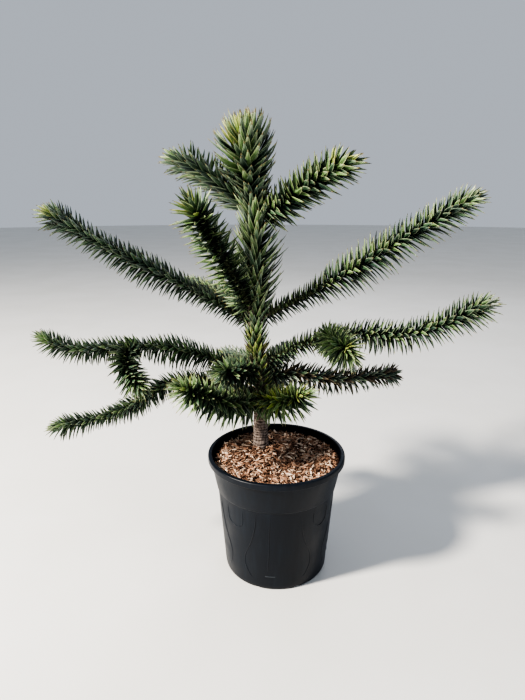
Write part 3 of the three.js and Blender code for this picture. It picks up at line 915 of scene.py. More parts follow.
@dataclass
class Trunk:
    """The trunk: one tapering stem with a slight lean, a kink below its head and a root flare.

    Attributes:
        heights: The heights of the stations, from the foot to the tip.
        middles_x, middles_y: The middle at each station.
        radii: The radius at each station.
        columns: Points round a ring.
        row_pitch: Height between rings.
        flare_lobes, flare_depth, flare_turn: How many lobes the root flare has, how far they
            stand out and how far they are turned, in radians.
        flare_top, flare_fade: Where the lobes end, and over what height they fade.
        wrinkle_pitch: Height between the bark's wrinkles.
        wrinkle_drift, drift_size: How far noise shifts the wrinkles in radians, and its lattice.
        scar_counts, scar_pitches: For the two families of spirals on which the leaf scars lie,
            how many spirals it has and the height between them.
        grit_size: The lattice of the noise that roughens the bark.
        relief_shares: How much of the relief is wrinkles, scars and roughness.
        relief_depth: The relief's depth as a share of the radius.
        green_start, green_reach, green_share: Where the bark turns green, over what height, and
            how green it gets.
    """

    heights: tuple = (214.3, 232, 262, 335, 415, 455, 505, 600, 690, 745, 800, 822)
    middles_x: tuple = (-31, -31, -31, -31, -34, -41, -39, -39, -41, -51, -55, -54)
    middles_y: tuple = (38, 38, 38, 37, 36, 35, 34, 31, 29, 27, 26, 25)
    radii: tuple = (18.5, 16.5, 14.3, 13.2, 11.2, 10.4, 9.6, 8.2, 7, 5.8, 4.4, 3)
    columns: int = 96
    row_pitch: float = 1.5
    flare_lobes: int = 5
    flare_depth: float = 1.5
    flare_turn: float = 0.6
    flare_top: float = 244.0
    flare_fade: float = 18.0
    wrinkle_pitch: float = 6.0
    wrinkle_drift: float = 2.6
    drift_size: float = 11.0
    scar_counts: tuple = (5, 8)
    scar_pitches: tuple = (13.0, 10.0)
    grit_size: float = 2.6
    relief_shares: tuple = (0.42, 0.3, 0.38)
    relief_depth: float = 0.062
    green_start: float = 330.0
    green_reach: float = 120.0
    green_share: float = 0.8

    def middle(self, height: Array) -> Array:
        """The trunk's middle at some heights."""
        x, y = (np.interp(height, self.heights, row) for row in (self.middles_x, self.middles_y))
        return np.stack([x, y, height], axis=-1)

    def radius(self, height: Array) -> Array:
        """The trunk's radius at some heights."""
        return np.interp(height, self.heights, self.radii)

    def at(self, height: Array) -> Stations:
        """Level places on the trunk, with the way straight up.

        Args:
            height: The height of each place.

        Returns:
            The places, with side along +X and up along +Y.
        """
        middle = self.middle(height)
        axes = ((0.0, 0.0, 1.0), (1.0, 0.0, 0.0), (0.0, 1.0, 0.0))
        return Stations(middle, *(np.broadcast_to(np.array(axis), middle.shape) for axis in axes))

    def relief(self, places: Array, turn: Array) -> Array:
        """The bark's relief.

        Transverse wrinkles sin(2 pi z / pitch + noise), crossed by the diamond scars that old
        leaves left on two families of spirals, and roughened by noise.

        Args:
            places: Points on the smooth trunk.
            turn: Each point's angle round the trunk.

        Returns:
            The relief from about -1 to 1, one number a point.
        """
        wave = 2 * math.pi * places[..., 2]
        drift = lattice_noise(places, self.drift_size, seed=1)
        wrinkle = np.sin(wave / self.wrinkle_pitch + self.wrinkle_drift * drift)
        first = np.cos(self.scar_counts[0] * turn + wave / self.scar_pitches[0])
        second = np.cos(self.scar_counts[1] * turn - wave / self.scar_pitches[1])
        rough = lattice_noise(places, self.grit_size, seed=2)
        wrinkle_share, scar_share, rough_share = self.relief_shares
        return wrinkle_share * wrinkle + scar_share * first * second + rough_share * rough

    def build(self, finish: Material) -> None:
        """Adds the trunk, with its radius raised by the flare's lobes and the bark's relief.

        Args:
            finish: The bark.
        """
        low, high = self.heights[0], self.heights[-1]
        height = np.linspace(low, high, int((high - low) / self.row_pitch))
        stations = self.at(height)
        turn = even_turn(self.columns)
        radius = np.repeat(self.radius(height)[:, None], self.columns, axis=1)
        relief = self.relief(stations.rings(radius, self.columns), turn)
        near_foot = smoothstep((self.flare_top - height) / self.flare_fade)[:, None]
        lobes = self.flare_depth * np.cos(self.flare_lobes * turn + self.flare_turn) * near_foot
        depth = self.relief_depth * self.radius(height)[:, None]
        rings = stations.rings(radius + lobes + depth * relief, self.columns)
        green = smoothstep((height - self.green_start) / self.green_reach) * self.green_share
        youth = np.broadcast_to(green[:, None], relief.shape)
        traits = np.stack([relief, youth, np.zeros_like(relief)], axis=-1)
        foot, tip = stations.middle[:1], stations.middle[-1:]
        surface = Surface.tubes(rings[None], foot, tip, traits[None])
        add_piece("trunk_bark", surface, [finish], ["trunk"], crease=60)


# How far a bough of the solids runs on outside the trunk, before its leafy shoot takes over.
BARE_LENGTH = 20.0

# The length of the last leaves of a shoot, as a share of the others'.
LAST_LEAF = 0.95


@dataclass
class Limb:
    """A bough with the leafy shoot that goes on from its end.

    Attributes:
        name: The limb's name in the solids, without bough_ or shoot_.
        height: Where it leaves the trunk, or for a side shoot the share of its parent's length.
        heading, rise: Its angles from foot to tip, as Spine.grow takes them.
        length: From the trunk's middle to the shoot's tip.
        leaf: The reach of its leaves from its middle line.
        tint: How its leaves are coloured.
        lean: Evenly spaced angles from foot to tip that its leaves lean off its stem, in degrees.
        hang: How much further the leaves under it lean, and how much less those on top, likewise.
        breadth: How broad its leaves are, as a share of the usual width.
        swell: Evenly spaced shares of leaf from foot to tip: each year's growth starts and ends
            with shorter leaves.
        spacing: How far apart its leaves stand, as a share of the usual pitch.
        closing: How far its leaves close up at its end, from 0 to 1.
        parent: The name of the limb that carries a side shoot.
        spine: Its middle line, once it is grown.
        bare: The length of its bough from the trunk's middle, once it is grown.
    """

    name: str
    height: float
    heading: tuple
    rise: tuple
    length: float
    leaf: float
    tint: Tint
    lean: tuple = (57, 57)
    hang: tuple = (0, 0)
    breadth: float = 1.0
    swell: tuple = (1.0, 1.0)
    spacing: float = 1.0
    closing: float = 1.0
    parent: str = ""
    spine: Spine = field(init=False)
    bare: float = field(init=False, default=0.0)

    @property
    def slim(self) -> bool:
        """True for a side shoot and for a limb of the top whorl."""
        return bool(self.parent) or self.name.startswith("w4")

    @property
    def end(self) -> float:
        """How far out its stem ends, so that its last leaves reach its length."""
        return self.length - LAST_LEAF * self.leaf * self.swell[-1]

    def grow(self, trunk: Trunk, limbs: dict[str, "Limb"]) -> None:
        """Works out the spine, and how far out the limb is a bough.

        Args:
            trunk: The trunk that it leaves.
            limbs: All limbs by name, with a side shoot's parent grown before it.
        """
        if self.parent:
            carrier = limbs[self.parent].spine
            root = carrier.at(np.array([carrier.length * self.height])).middle[0]
        else:
            root = trunk.middle(np.array([self.height]))[0]
            inside = trunk.radius(self.height) / math.cos(math.radians(self.rise[0]))
            self.bare = float(inside) + BARE_LENGTH
        self.spine = Spine.grow(root, self.heading, self.rise, self.length)


LIMBS = (
    Limb("w1_left", 350, (187, 192), (15, 17, -36, -12, -4), 431, 31, Tint.GREEN, (64, 72, 66, 62),
         (4, 2, 2, 0), 1.1, (0.7, 0.75, 0.85, 0.95, 1.0, 0.98, 0.72, 1.0, 0.9)),
    Limb("w1_front_left", 338, (237, 213), (2, 26, 34), 236, 48, Tint.BRIGHT, (64, 68, 62), (4, 4),
         1.0, (1.0, 1.0, 0.95, 0.72)),
    Limb("w1_front_right", 340, (-70, -28), (6, 20, 40), 160, 46, Tint.YOUNG, (64, 66, 60), (4, 0),
         1.0, (1.0, 1.0, 0.95, 0.7)),
    Limb("w1_right", 380, (18, 18), (12, -18, 2, -3), 330, 38, Tint.DYING, (66, 70, 50), (6, 0),
         1.2, (0.75, 1.0, 0.95, 0.85, 1.0), 1.3, closing=0.2),
    Limb("w1_back_right", 352, (78, 68), (-5, -13), 180, 34, Tint.SHADED),
    Limb("w1_back_left", 345, (120, 113), (-17, -25), 196, 34, Tint.SHADED),
    Limb("w2_left", 404, (174, 184), (5, 17, -1, -4, 48), 453, 37, Tint.GREEN, (66, 74, 72, 60),
         (10, 12, 10, 2), 1.2, (0.65, 0.68, 0.95, 1.1, 0.72, 0.92, 0.8, 0.85, 0.95)),
    Limb("w2_right", 404, (2, -6), (36, 18, -6, 24, 31), 478, 45, Tint.GREEN, (68, 76, 80, 68, 62),
         (2, 6, 6, 2, 0), 1.35, (0.6, 0.55, 0.7, 0.65, 0.9, 0.82, 0.85, 0.95, 0.88)),
    Limb("w2_front", 399, (230, 233), (4, 27), 138, 42, Tint.GREEN, (60, 58), (-8, -8)),
    Limb("w2_back_right", 394, (71, 61), (5, -3), 187, 32, Tint.SHADED),
    Limb("w2_back_left", 412, (113, 124), (-7, -13), 200, 34, Tint.SHADED),
    Limb("w3_left", 488, (170, 177), (29, 25, 33), 469, 43, Tint.SHADED, (62, 67, 62, 52),
         (12, 18, 8, -4), 1.3, (0.55, 0.6, 0.68, 0.86, 1.0, 0.8, 0.86, 1.0, 1.0)),
    Limb("w3_right", 500, (-9, -13), (25, 34, 31), 455, 50, Tint.GREEN, (68, 68, 68, 58, 52),
         (2, 8, 10, 0, -8), 1.3, (0.62, 0.52, 0.58, 0.95, 1.0, 0.87, 0.82, 0.8, 0.84)),
    Limb("w3_front", 503, (220, 235), (58, 54, 50), 295, 56, Tint.SUNNY, (64, 66, 66), (4, 0), 1.3,
         (0.85, 0.88, 0.85, 1.05)),
    Limb("w3_back_right", 492, (89, 92), (39, 26), 216, 34, Tint.GREEN, breadth=1.2),
    Limb("w3_back_left", 508, (133, 138), (17, 4), 228, 30, Tint.GREEN, breadth=1.2),
    Limb("w4_left", 690, (150, 155), (44, 28, 16), 228, 52, Tint.GREEN, (52, 52), (-18, -18), 1.3),
    Limb("w4_right", 688, (-27, -29), (16, 34, 28, 21), 221, 50, Tint.BRIGHT, (58, 56, 52),
         (-6, -8, -10), 1.6),
    Limb("w4_back", 706, (91, 94), (34, 25), 176, 36, Tint.GREEN, breadth=1.4),
    Limb("w2_left_side", 0.53, (-132, -85, -35, -27), (11, -27, -40, -20), 160, 38, Tint.GREEN,
         (62, 60), (0, 0), 1.1, parent="w2_left"),
    Limb("w2_right_side", 0.3, (-85, -70), (12, -14), 156, 43, Tint.BRIGHT, (62, 62), (0, 0), 0.85,
         spacing=0.82, parent="w2_right"),
)


@dataclass
class Boughs:
    """The woody limbs: boughs with bark, and the green stems that run on inside the leaves.

    Attributes:
        foot_radius, end_radius: The bough's radius at the trunk and at its end.
        slim_scale: The radius of the slim limbs, as a share of the others'.
        collar, collar_fade: How far a bough swells where it leaves the trunk, and how far out
            the swelling has shrunk to about a third.
        stem_tip: The stem's radius at the shoot's tip.
        stem_overlap: How far the stem starts back inside the bough.
        columns: Points round a ring.
        ring_pitch, stem_pitch: Distance between a bough's rings and between a stem's.
        wrinkle_pitch: Distance between the bark's wrinkles.
        wrinkle_drift, drift_size: How far noise shifts the wrinkles in radians, and its lattice.
        grit_size: The lattice of the noise that roughens the bark.
        bark_depth, stem_depth: The relief's depth on a bough and on a stem.
        bark_green, stem_green: The share of green in their colour.
    """

    foot_radius: float = 6.4
    end_radius: float = 5.6
    slim_scale: float = 0.78
    collar: float = 3.4
    collar_fade: float = 4.5
    stem_tip: float = 1.8
    stem_overlap: float = 2.0
    columns: int = 28
    ring_pitch: float = 0.9
    stem_pitch: float = 3.0
    wrinkle_pitch: float = 4.2
    wrinkle_drift: float = 2.4
    drift_size: float = 7.0
    grit_size: float = 1.8
    bark_depth: float = 0.4
    stem_depth: float = 0.25
    bark_green: float = 0.25
    stem_green: float = 0.75

    def scale(self, limb: Limb) -> float:
        """How thick a limb is, as a share of the usual radius."""
        return self.slim_scale if limb.slim else 1.0

    def tube(self, spine: Spine, distance: Array, radius: Array, depth: float,
             youth: float) -> Surface:
        """A round limb along a spine, its radius raised by depth times (wrinkle + noise) / 2.

        Args:
            spine: The limb's middle line.
            distance: Where its rings stand along the spine.
            radius: Its radius at each ring.
            depth: The relief's depth.
            youth: The share of green in its colour.

        Returns:
            The limb.
        """
        stations = spine.at(distance)
        plain = stations.rings(radius[:, None].repeat(self.columns, 1), self.columns)
        drift = self.wrinkle_drift * lattice_noise(plain, self.drift_size, seed=3)
        wrinkle = np.sin(2 * math.pi * distance[:, None] / self.wrinkle_pitch + drift)
        relief = (wrinkle + lattice_noise(plain, self.grit_size, seed=4)) / 2
        rings = stations.rings(radius[:, None] + depth * relief, self.columns)
        traits = np.stack([relief, np.full_like(relief, youth), np.zeros_like(relief)], axis=-1)
        return Surface.tubes(rings[None], stations.middle[:1], stations.middle[-1:], traits[None])

    def bough(self, limb: Limb) -> Surface:
        """A limb's bough, with its swelling exp(-d / fade) at a distance d off the trunk.

        Args:
            limb: The limb.

        Returns:
            Its bough.
        """
        distance = np.linspace(0, limb.bare, int(limb.bare / self.ring_pitch))
        plain = blend(self.foot_radius, self.end_radius, distance / limb.bare) * self.scale(limb)
        off_trunk = np.maximum(distance - (limb.bare - BARE_LENGTH), 0)
        swell = self.collar * self.scale(limb) * np.exp(-off_trunk / self.collar_fade)
        depth = self.bark_depth * self.scale(limb)
        return self.tube(limb.spine, distance, plain + swell, depth, self.bark_green)

    def stem(self, limb: Limb) -> Surface:
        """The stem inside a shoot's leaves, from the bough's end to the shoot's tip.

        Args:
            limb: The limb.

        Returns:
            Its stem.
        """
        start = max(limb.bare - self.stem_overlap, 0)
        distance = np.linspace(start, limb.end, int((limb.end - start) / self.stem_pitch))
        share = (distance - start) / (limb.end - start)
        radius = blend(self.end_radius * self.scale(limb), self.stem_tip, share)
        return self.tube(limb.spine, distance, radius, self.stem_depth, self.stem_green)

    def radius_at(self, limb: Limb, distance: Array) -> Array:
        """The radius of a limb under its leaves at some distances out."""
        share = np.clip((distance - limb.bare) / (limb.end - limb.bare), 0, 1)
        return blend(self.end_radius * self.scale(limb), self.stem_tip, share)

    def build(self, limbs: Sequence[Limb], bark: Material) -> None:
        """Adds the boughs as one piece and the stems as another.

        Args:
            limbs: All the limbs. A side shoot has no bough.
            bark: The material of both.
        """
        boughs = [limb for limb in limbs if not limb.parent]
        surface = Surface.join([self.bough(limb) for limb in boughs])
        add_piece("bough_bark", surface, [bark], [f"bough_{b.name}" for b in boughs], 60)
        surface = Surface.join([self.stem(limb) for limb in limbs])
        add_piece("shoot_stems", surface, [bark], [f"shoot_{b.name}" for b in limbs], 60)


@dataclass
class Leaves:
    """Leaves as arrays, one row each.

    Attributes:
        root: Where each leaf leaves its stem.
        way: The stem's forward direction there.
        outward: The direction straight off the stem.
        lean: The leaf's mean angle off the stem's way, in radians.
        bend: How far it turns each way off its lean, in radians: it leaves the stem at lean + bend
            and its point looks along lean - bend.
        length, width: Its size.
        chance: A random number from 0 to 1 that shades it.
        tone: The number of its tone.
        owner: The number of the stem it stands on.
    """

    root: Array
    way: Array
    outward: Array
    lean: Array
    bend: Array
    length: Array
    width: Array
    chance: Array
    tone: Array
    owner: Array

    @classmethod
    def join(cls, parts: Sequence["Leaves"]) -> "Leaves":
        """Several sets of leaves as one."""
        return cls(*(np.concatenate([vars(p)[name] for p in parts]) for name in vars(parts[0])))

    def pick(self, chosen: Array) -> "Leaves":
        """Only the chosen leaves."""
        return Leaves(*(value[chosen] for value in vars(self).values()))

    def reach(self, share: Array) -> Array:
        """The direction that each leaf runs in: cos a of the stem's way and sin a of the outward
        direction, with a = lean + bend (1 - 2 share).

        Args:
            share: Shares of the leaf's length, one row for all leaves or one a leaf.

        Returns:
            Directions in the shape (leaves, shares, 3).
        """
        angle = self.lean[:, None] + self.bend[:, None] * (1 - 2 * share)
        return (np.cos(angle)[..., None] * self.way[:, None]
                + np.sin(angle)[..., None] * self.outward[:, None])

    def line(self, share: Array) -> Array:
        """Points on the middle line at some shares of the leaf's length."""
        # A direction that turns evenly sums to the one half way, shortened by sin(b s) / (b s).
        drawn = np.sinc(self.bend[:, None] * share / math.pi) * share * self.length[:, None]
        return self.root[:, None] + drawn[..., None] * self.reach(share / 2)


@dataclass(frozen=True)
class LeafShape:
    """The shape of every leaf, as a six-cornered section carried along a bent middle line.

    Attributes:
        stations: Shares of the length where the section stands.
        widths: The half width there, as a share of the greatest.
        across: The section's corners across the leaf, from its right edge over its top.
        dish: The corners' height, as a share of the half width: the top is hollow.
        keel: The depth of the ridge along the underside, at the root and at the point.
        foot: How far the leaf's closing point lies back inside the stem.
    """

    stations: tuple = (0.0, 0.2, 0.45, 0.7, 0.9)
    widths: tuple = (0.8, 1.0, 0.9, 0.6, 0.22)
    across: tuple = (1.0, 0.5, 0.0, -0.5, -1.0, 0.0)
    dish: tuple = (0.44, 0.14, 0.0, 0.14, 0.44, 0.0)
    keel: tuple = (1.5, 0.4)
    foot: float = 0.4

    def surface(self, leaves: Leaves) -> Surface:
        """Leaves as one surface, with their last stretch in the second finish.

        A section stands square to its leaf's middle line. Its corners lie across half widths to
        the side and dish half widths up, and the last one keel millimetres down.

        Args:
            leaves: The leaves of one kind.

        Returns:
            A closed shell for each leaf.
        """
        share = np.array(self.stations)[None]
        reach = leaves.reach(share)[:, :, None]
        side = np.cross(leaves.way, leaves.outward)[:, None, None]
        upper = np.cross(reach, side)
        half = (leaves.width[:, None] / 2 * np.array(self.widths))[:, :, None]
        across = np.array(self.across)
        keel = along(self.keel, share)[..., None] * (np.arange(len(across)) == len(across) - 1)
        height = half * np.array(self.dish) - keel
        rings = (leaves.line(share)[:, :, None] + (half * across)[..., None] * side
                 + height[..., None] * upper)
        start, end = np.array([[0.0]]), np.array([[1.0]])
        foot = leaves.line(start)[:, 0] - leaves.reach(start)[:, 0] * self.foot
        point = leaves.line(end)[:, 0]
        shape = rings.shape[:3]
        traits = np.stack([
            np.broadcast_to(across, shape),
            np.broadcast_to(share[..., None], shape),
            np.broadcast_to(leaves.chance[:, None, None], shape),
        ], axis=-1)
        return Surface.tubes(rings, foot, point, traits, tipped=True)


# The solids' sleeves of leaves on the trunk.
SLEEVES = ("trunk_leaves_low", "trunk_leaves_middle", "trunk_leaves_upper", "leader_leaves")


@dataclass
class Foliage:
    """All the leaves, on the shoots and on the trunk.

    Attributes:
        shape: The shape of every leaf.
        least_width, width_share: A leaf's usual width is the first plus this share of its length.
        pitch: The stem's length for each leaf of a shoot, as a share of the leaf.
        crowd, crowd_fade: How many leaves more than the pitch gives crowd together at a shoot's
            tip, and over how many leaves the crowding fades.
        lean_tip: How far the last leaf of a shoot leans off its stem, in degrees.
        tip_reach: How far from a shoot's end its leaves begin to close up.
        tip_tones: How far from a shoot's end its leaves begin to take the tip's tones.
        off_trunk, off_parent: How far off the trunk's bark, or off the middle of the limb that
            carries it, a shoot's lowest leaf stands.
        seat, trunk_seat: How deep a leaf's root sits in a shoot's stem and in the trunk.
        bend, trunk_bend: How far a leaf at a shoot's flank, and one on the trunk, turns each way
            off its lean, in degrees.
        curl: How many degrees more a leaf on top of a level shoot turns, and one under it less.
        droop: By what share leaves under a level shoot are longer, and those on top shorter.
        roll_scatter: How far a leaf strays round its stem, in radians.
        length_scatter, width_scatter: Between which shares of its usual size a leaf varies.
        lean_scatter, bend_scatter: The spread of its lean and of its bend, in degrees.
        bleached: Painted sunlight: how much further a leaf that faces the key lamp is dealt towards
            the pale tones.
        last_draw: The greatest draw for a tone, so that a leaf keeps to the tones of its tint.
        clear: How far a leaf stays off the middle line of every other stem.
        off_bark: How far a shoot's leaf stays off the trunk's bark.
        checked: The shares of a leaf's length at which this is looked at.
        trunk_points, trunk_samples: Points of the trunk's middle line for this, and heights at
            which its leaves are counted.
        trunk_heights: Heights for the lists of the trunk's leaves below.
        trunk_length, trunk_lean, trunk_pitch, trunk_breadth: The trunk leaves' sizes there.
        trunk_sweep_x, trunk_sweep_y: How many more degrees the trunk's leaves lean that point
            along +X and along +Y: the crown leans over and its leaves turn to the light.
        tone_heights: Where the trunk's leaves turn from faded to bright, to green and to sunny.
        tone_reach: Over what height the sunny ones take the tip's tones.
    """

    shape: LeafShape = LeafShape()
    least_width: float = 3.0
    width_share: float = 0.1
    pitch: float = 0.0205
    crowd: int = 28
    crowd_fade: float = 32
    lean_tip: float = 4
    tip_reach: float = 13
    tip_tones: float = 22
    off_trunk: float = 2
    off_parent: float = 6
    seat: float = 0.8
    trunk_seat: float = 0.4
    bend: float = 3
    trunk_bend: float = 17
    curl: float = 12
    droop: float = 0.18
    roll_scatter: float = 0.15
    length_scatter: tuple = (0.9, 1.08)
    width_scatter: tuple = (0.92, 1.08)
    lean_scatter: float = 3.6
    bend_scatter: float = 4
    bleached: float = 0.3
    last_draw: float = 0.999
    clear: float = 8.0
    off_bark: float = 1
    checked: tuple = (0.34, 0.7, 1.0)
    trunk_points: int = 16
    trunk_samples: int = 800
    trunk_heights: tuple = (322, 345, 400, 470, 505, 540, 600, 670, 705, 735, 760, 780, 795, 805,
                            812, 820)
    trunk_length: tuple = (18, 24, 27, 30, 40, 56, 62, 54, 48, 56, 70, 77, 74, 65, 54, 42)
    trunk_lean: tuple = (62, 48, 38, 30, 33, 40, 42, 34, 30, 44, 46, 37, 28, 21, 13, 4)
    trunk_pitch: tuple = (1.2, 0.9, 0.8, 0.85, 0.9, 1.1, 1.1, 0.8, 0.6, 0.5, 0.48, 0.42, 0.37, 0.33,
                          0.29, 0.26)
    trunk_breadth: tuple = (1.0, 1.1, 1.2, 1.3, 1.2, 1.0, 1.0, 1.2, 1.3, 1.4, 1.45, 1.35, 1.2, 1.1,
                            1.0, 0.95)
    trunk_sweep_x: tuple = (0, 0, 0, 0, 4, 8, 8, 4, 0, -8, -10, -10, -8, -7, -5, -4)
    trunk_sweep_y: tuple = (0, 0, 0, 0, 0, 0, 0, -8, -18, -28, -30, -26, -20, -15, -10, -6)
    tone_heights: tuple = (470, 700, 785)
    tone_reach: float = 40

    def stand(self, stations: Stations, root_radius: Array, lean: Array, hang: Array, bend: float,
              length: Array, breadth: Array, deal: Callable[[Array], Array], owner: int,
              rng: np.random.Generator) -> Leaves:
        """Stands leaves on a stem, each turned from the last by the golden angle.

        Args:
            stations: Where each leaf stands, from the tip down.
            root_radius: How far off the stem's middle its root is.
            lean: Its angle off the stem's way, in degrees.
            hang: How much further it leans under a level stem.
            bend: How far it turns each way off its lean, in degrees.
            length: Its length.
            breadth: How broad it is, as a share of the usual width.
            deal: Gives each leaf's tone for a draw from 0 to 1.
            owner: The number of the stem.
            rng: The stem's random numbers.

        Returns:
            The stem's leaves.
        """
        count = len(length)
        stray = rng.uniform(-self.roll_scatter, self.roll_scatter, count)
        roll = (np.arange(count) * GOLDEN_ANGLE + stray)[:, None]
        outward = stations.side * np.cos(roll) + stations.up * np.sin(roll)
        under = -outward[:, 2] * np.hypot(stations.way[:, 0], stations.way[:, 1])
        sized = length * (1 + self.droop * under) * rng.uniform(*self.length_scatter, count)
        # Painted sunlight: a leaf that faces the key lamp draws towards the paler tones.
        draw = rng.uniform(0, 1, count) + self.bleached * outward @ unit(np.array(SUN_PLACE))
        leaning = lean + hang * under + rng.normal(0, self.lean_scatter, count)
        bending = bend - self.curl * under + rng.normal(0, self.bend_scatter, count)
        usual = self.least_width + self.width_share * sized
        return Leaves(
            root=stations.middle + outward * root_radius[:, None],
            way=stations.way,
            outward=outward,
            lean=np.radians(leaning),
            bend=np.radians(bending),
            length=sized,
            width=usual * breadth * rng.uniform(*self.width_scatter, count),
            chance=rng.uniform(0, 1, count),
            tone=deal(draw.clip(0, self.last_draw)),
            owner=np.full(count, owner),
        )

    def on_shoot(self, limb: Limb, owner: int, boughs: Boughs) -> Leaves:
        """The leaves of one shoot, from its tip down to the trunk.

        Leaf i stands p (i - c (1 - exp(-i / f))) from the end, with p the pitch, c the crowd and
        f its fade. At the tip the lean falls off with the square root of the distance, which
        spreads the leaves' points over a dome.

        Args:
            limb: The shoot's limb.
            owner: The number of its stem.
            boughs: Gives the stem's radius.

        Returns:
            The shoot's leaves.
        """
        rng = np.random.default_rng(LEAF_SEED + owner)
        lowest = self.off_parent if limb.parent else limb.bare - BARE_LENGTH + self.off_trunk
        pitch = self.pitch * limb.leaf * limb.spacing
        number = np.arange(int((limb.end - lowest) / pitch) + self.crowd + 1)
        crowded = self.crowd * (1 - np.exp(-number / self.crowd_fade))
        distance = limb.end - pitch * (number - crowded)
        distance = distance[distance > lowest]
        to_end = limb.end - distance
        near_tip = np.clip(1 - np.sqrt(to_end / self.tip_reach), 0, 1) * limb.closing
        place = distance / limb.length
        lean = blend(along(limb.lean, place), self.lean_tip, near_tip)
        hang = along(limb.hang, place) * (1 - near_tip)
        share = along(limb.swell, place) * blend(1, LAST_LEAF, near_tip)
        radius = boughs.radius_at(limb, distance) - self.seat
        length = limb.leaf * share - radius
        deal = partial(limb.tint.deal, np.clip(1 - to_end / self.tip_tones, 0, 1))
        return self.stand(limb.spine.at(distance), radius, lean, hang, self.bend, length,
                          limb.breadth, deal, owner, rng)

    def on_trunk(self, trunk: Trunk, owner: int) -> Leaves:
        """The trunk's leaves, from its tip down to the lowest whorl.

        A leaf stands wherever the sum of 1 / pitch from the tip down passes a whole number.

        Args:
            trunk: The trunk.
            owner: The number of its stem.

        Returns:
            Its leaves.
        """
        rng = np.random.default_rng(TRUNK_SEED)
        fine = np.linspace(self.trunk_heights[-1], self.trunk_heights[0], self.trunk_samples)
        total = np.cumsum(abs(fine[1] - fine[0])
                          / np.interp(fine, self.trunk_heights, self.trunk_pitch))
        height = np.interp(np.arange(1, int(total[-1])), total, fine)
        length, lean, breadth = (
            np.interp(height, self.trunk_heights, row)
            for row in (self.trunk_length, self.trunk_lean, self.trunk_breadth))
        radius = trunk.radius(height) - self.trunk_seat
        leaves = self.stand(trunk.at(height), radius, lean, np.zeros_like(height), self.trunk_bend,
                            length, breadth, partial(self.trunk_tones, height), owner, rng)
        for axis, sweep in enumerate((self.trunk_sweep_x, self.trunk_sweep_y)):
            swept = np.radians(np.interp(height, self.trunk_heights, sweep))
            leaves.lean += leaves.outward[:, axis] * swept
        return leaves

    def trunk_tones(self, height: Array, draw: Array) -> Array:
        """The tones of the trunk's leaves: faded at the foot, then bright, green, and sunny on top.

        Args:
            height: The height of each leaf.
            draw: A random number from 0 to 1, one a leaf.

        Returns:
            The number of each leaf's tone in the order of Tone.
        """
        bright, green, sunny = self.tone_heights
        body = np.zeros_like(height)
        return np.select(
            [height < bright, height < green, height < sunny],
            [tint.deal(body, draw) for tint in (Tint.FADED, Tint.BRIGHT, Tint.GREEN)],
            Tint.SUNNY.deal(smoothstep((height - sunny) / self.tone_reach), draw))

    @staticmethod
    def distance_to(points: Array, row: Array) -> Array:
        """The distance from each point to a row of points taken as straight stretches.

        Args:
            points: The points.
            row: The row of points.

        Returns:
            One distance a point.
        """
        start, stretch = row[:-1], np.diff(row, axis=0)
        off = points[:, None] - start
        share = np.clip((off * stretch).sum(-1) / (stretch * stretch).sum(-1), 0, 1)
        return np.linalg.norm(off - share[..., None] * stretch, axis=-1).min(1)

    def keeping_space(self, leaves: Leaves, rows: Sequence[Array], trunk: Trunk) -> Leaves:
        """Leaves out those that another stem would run through.

        Args:
            leaves: All the leaves.
            rows: Each stem's middle line, the trunk's last.
            trunk: The trunk, which leaves of the limbs stay clear of.

        Returns:
            The leaves that stay.
        """
        side = np.cross(leaves.way, leaves.outward) * leaves.width[:, None] / 2
        line = leaves.line(np.array([self.checked]))
        samples = np.stack([line[:, 1], line[:, 2], line[:, 0] + side, line[:, 0] - side], axis=1)
        flat = samples.reshape(-1, 3)
        spacing = np.stack([self.distance_to(flat, row) for row in rows], axis=1)
        own = np.repeat(leaves.owner, samples.shape[1])
        spacing[np.arange(len(flat)), own] = np.inf
        kept = spacing[:, :-1].min(1) > self.clear
        aside = np.linalg.norm((flat - trunk.middle(flat[:, 2]))[:, :2], axis=1)
        kept &= (own == len(rows) - 1) | (aside > trunk.radius(flat[:, 2]) + self.off_bark)
        return leaves.pick(kept.reshape(samples.shape[:2]).all(1))

    def build(self, limbs: Sequence[Limb], trunk: Trunk, boughs: Boughs) -> None:
        """Adds the leaves, one piece for each tone.

        Args:
            limbs: The limbs, whose numbers are those of their stems.
            trunk: The trunk, whose stem comes last.
            boughs: Gives the stems' radii.
        """
        sets = [self.on_shoot(limb, i, boughs) for i, limb in enumerate(limbs)]
        sets.append(self.on_trunk(trunk, len(limbs)))
        heights = np.linspace(trunk.heights[0], trunk.heights[-1], self.trunk_points)
        rows = [limb.spine.points for limb in limbs] + [trunk.middle(heights)]
        leaves = self.keeping_space(Leaves.join(sets), rows, trunk)
        log.info("%d leaves", len(leaves.length))
        nodes = [f"shoot_{limb.name}" for limb in limbs]
        point = SpineFinish("dry leaf point", 0.6).material()
        for number, tone in enumerate(Tone):
            chosen = leaves.pick(leaves.tone == number)
            owners = np.unique(chosen.owner)
            named = [nodes[i] for i in owners if i < len(limbs)]
            named += SLEEVES if len(limbs) in owners else ()
            finishes = [LEAF_FINISHES[tone].material(), point]
            add_piece(tone.value, self.shape.surface(chosen), finishes, named)


# How many points a rounded corner has, and the most of a side that it may take.
ROUND_POINTS = 6
ROUND_LIMIT = 0.45


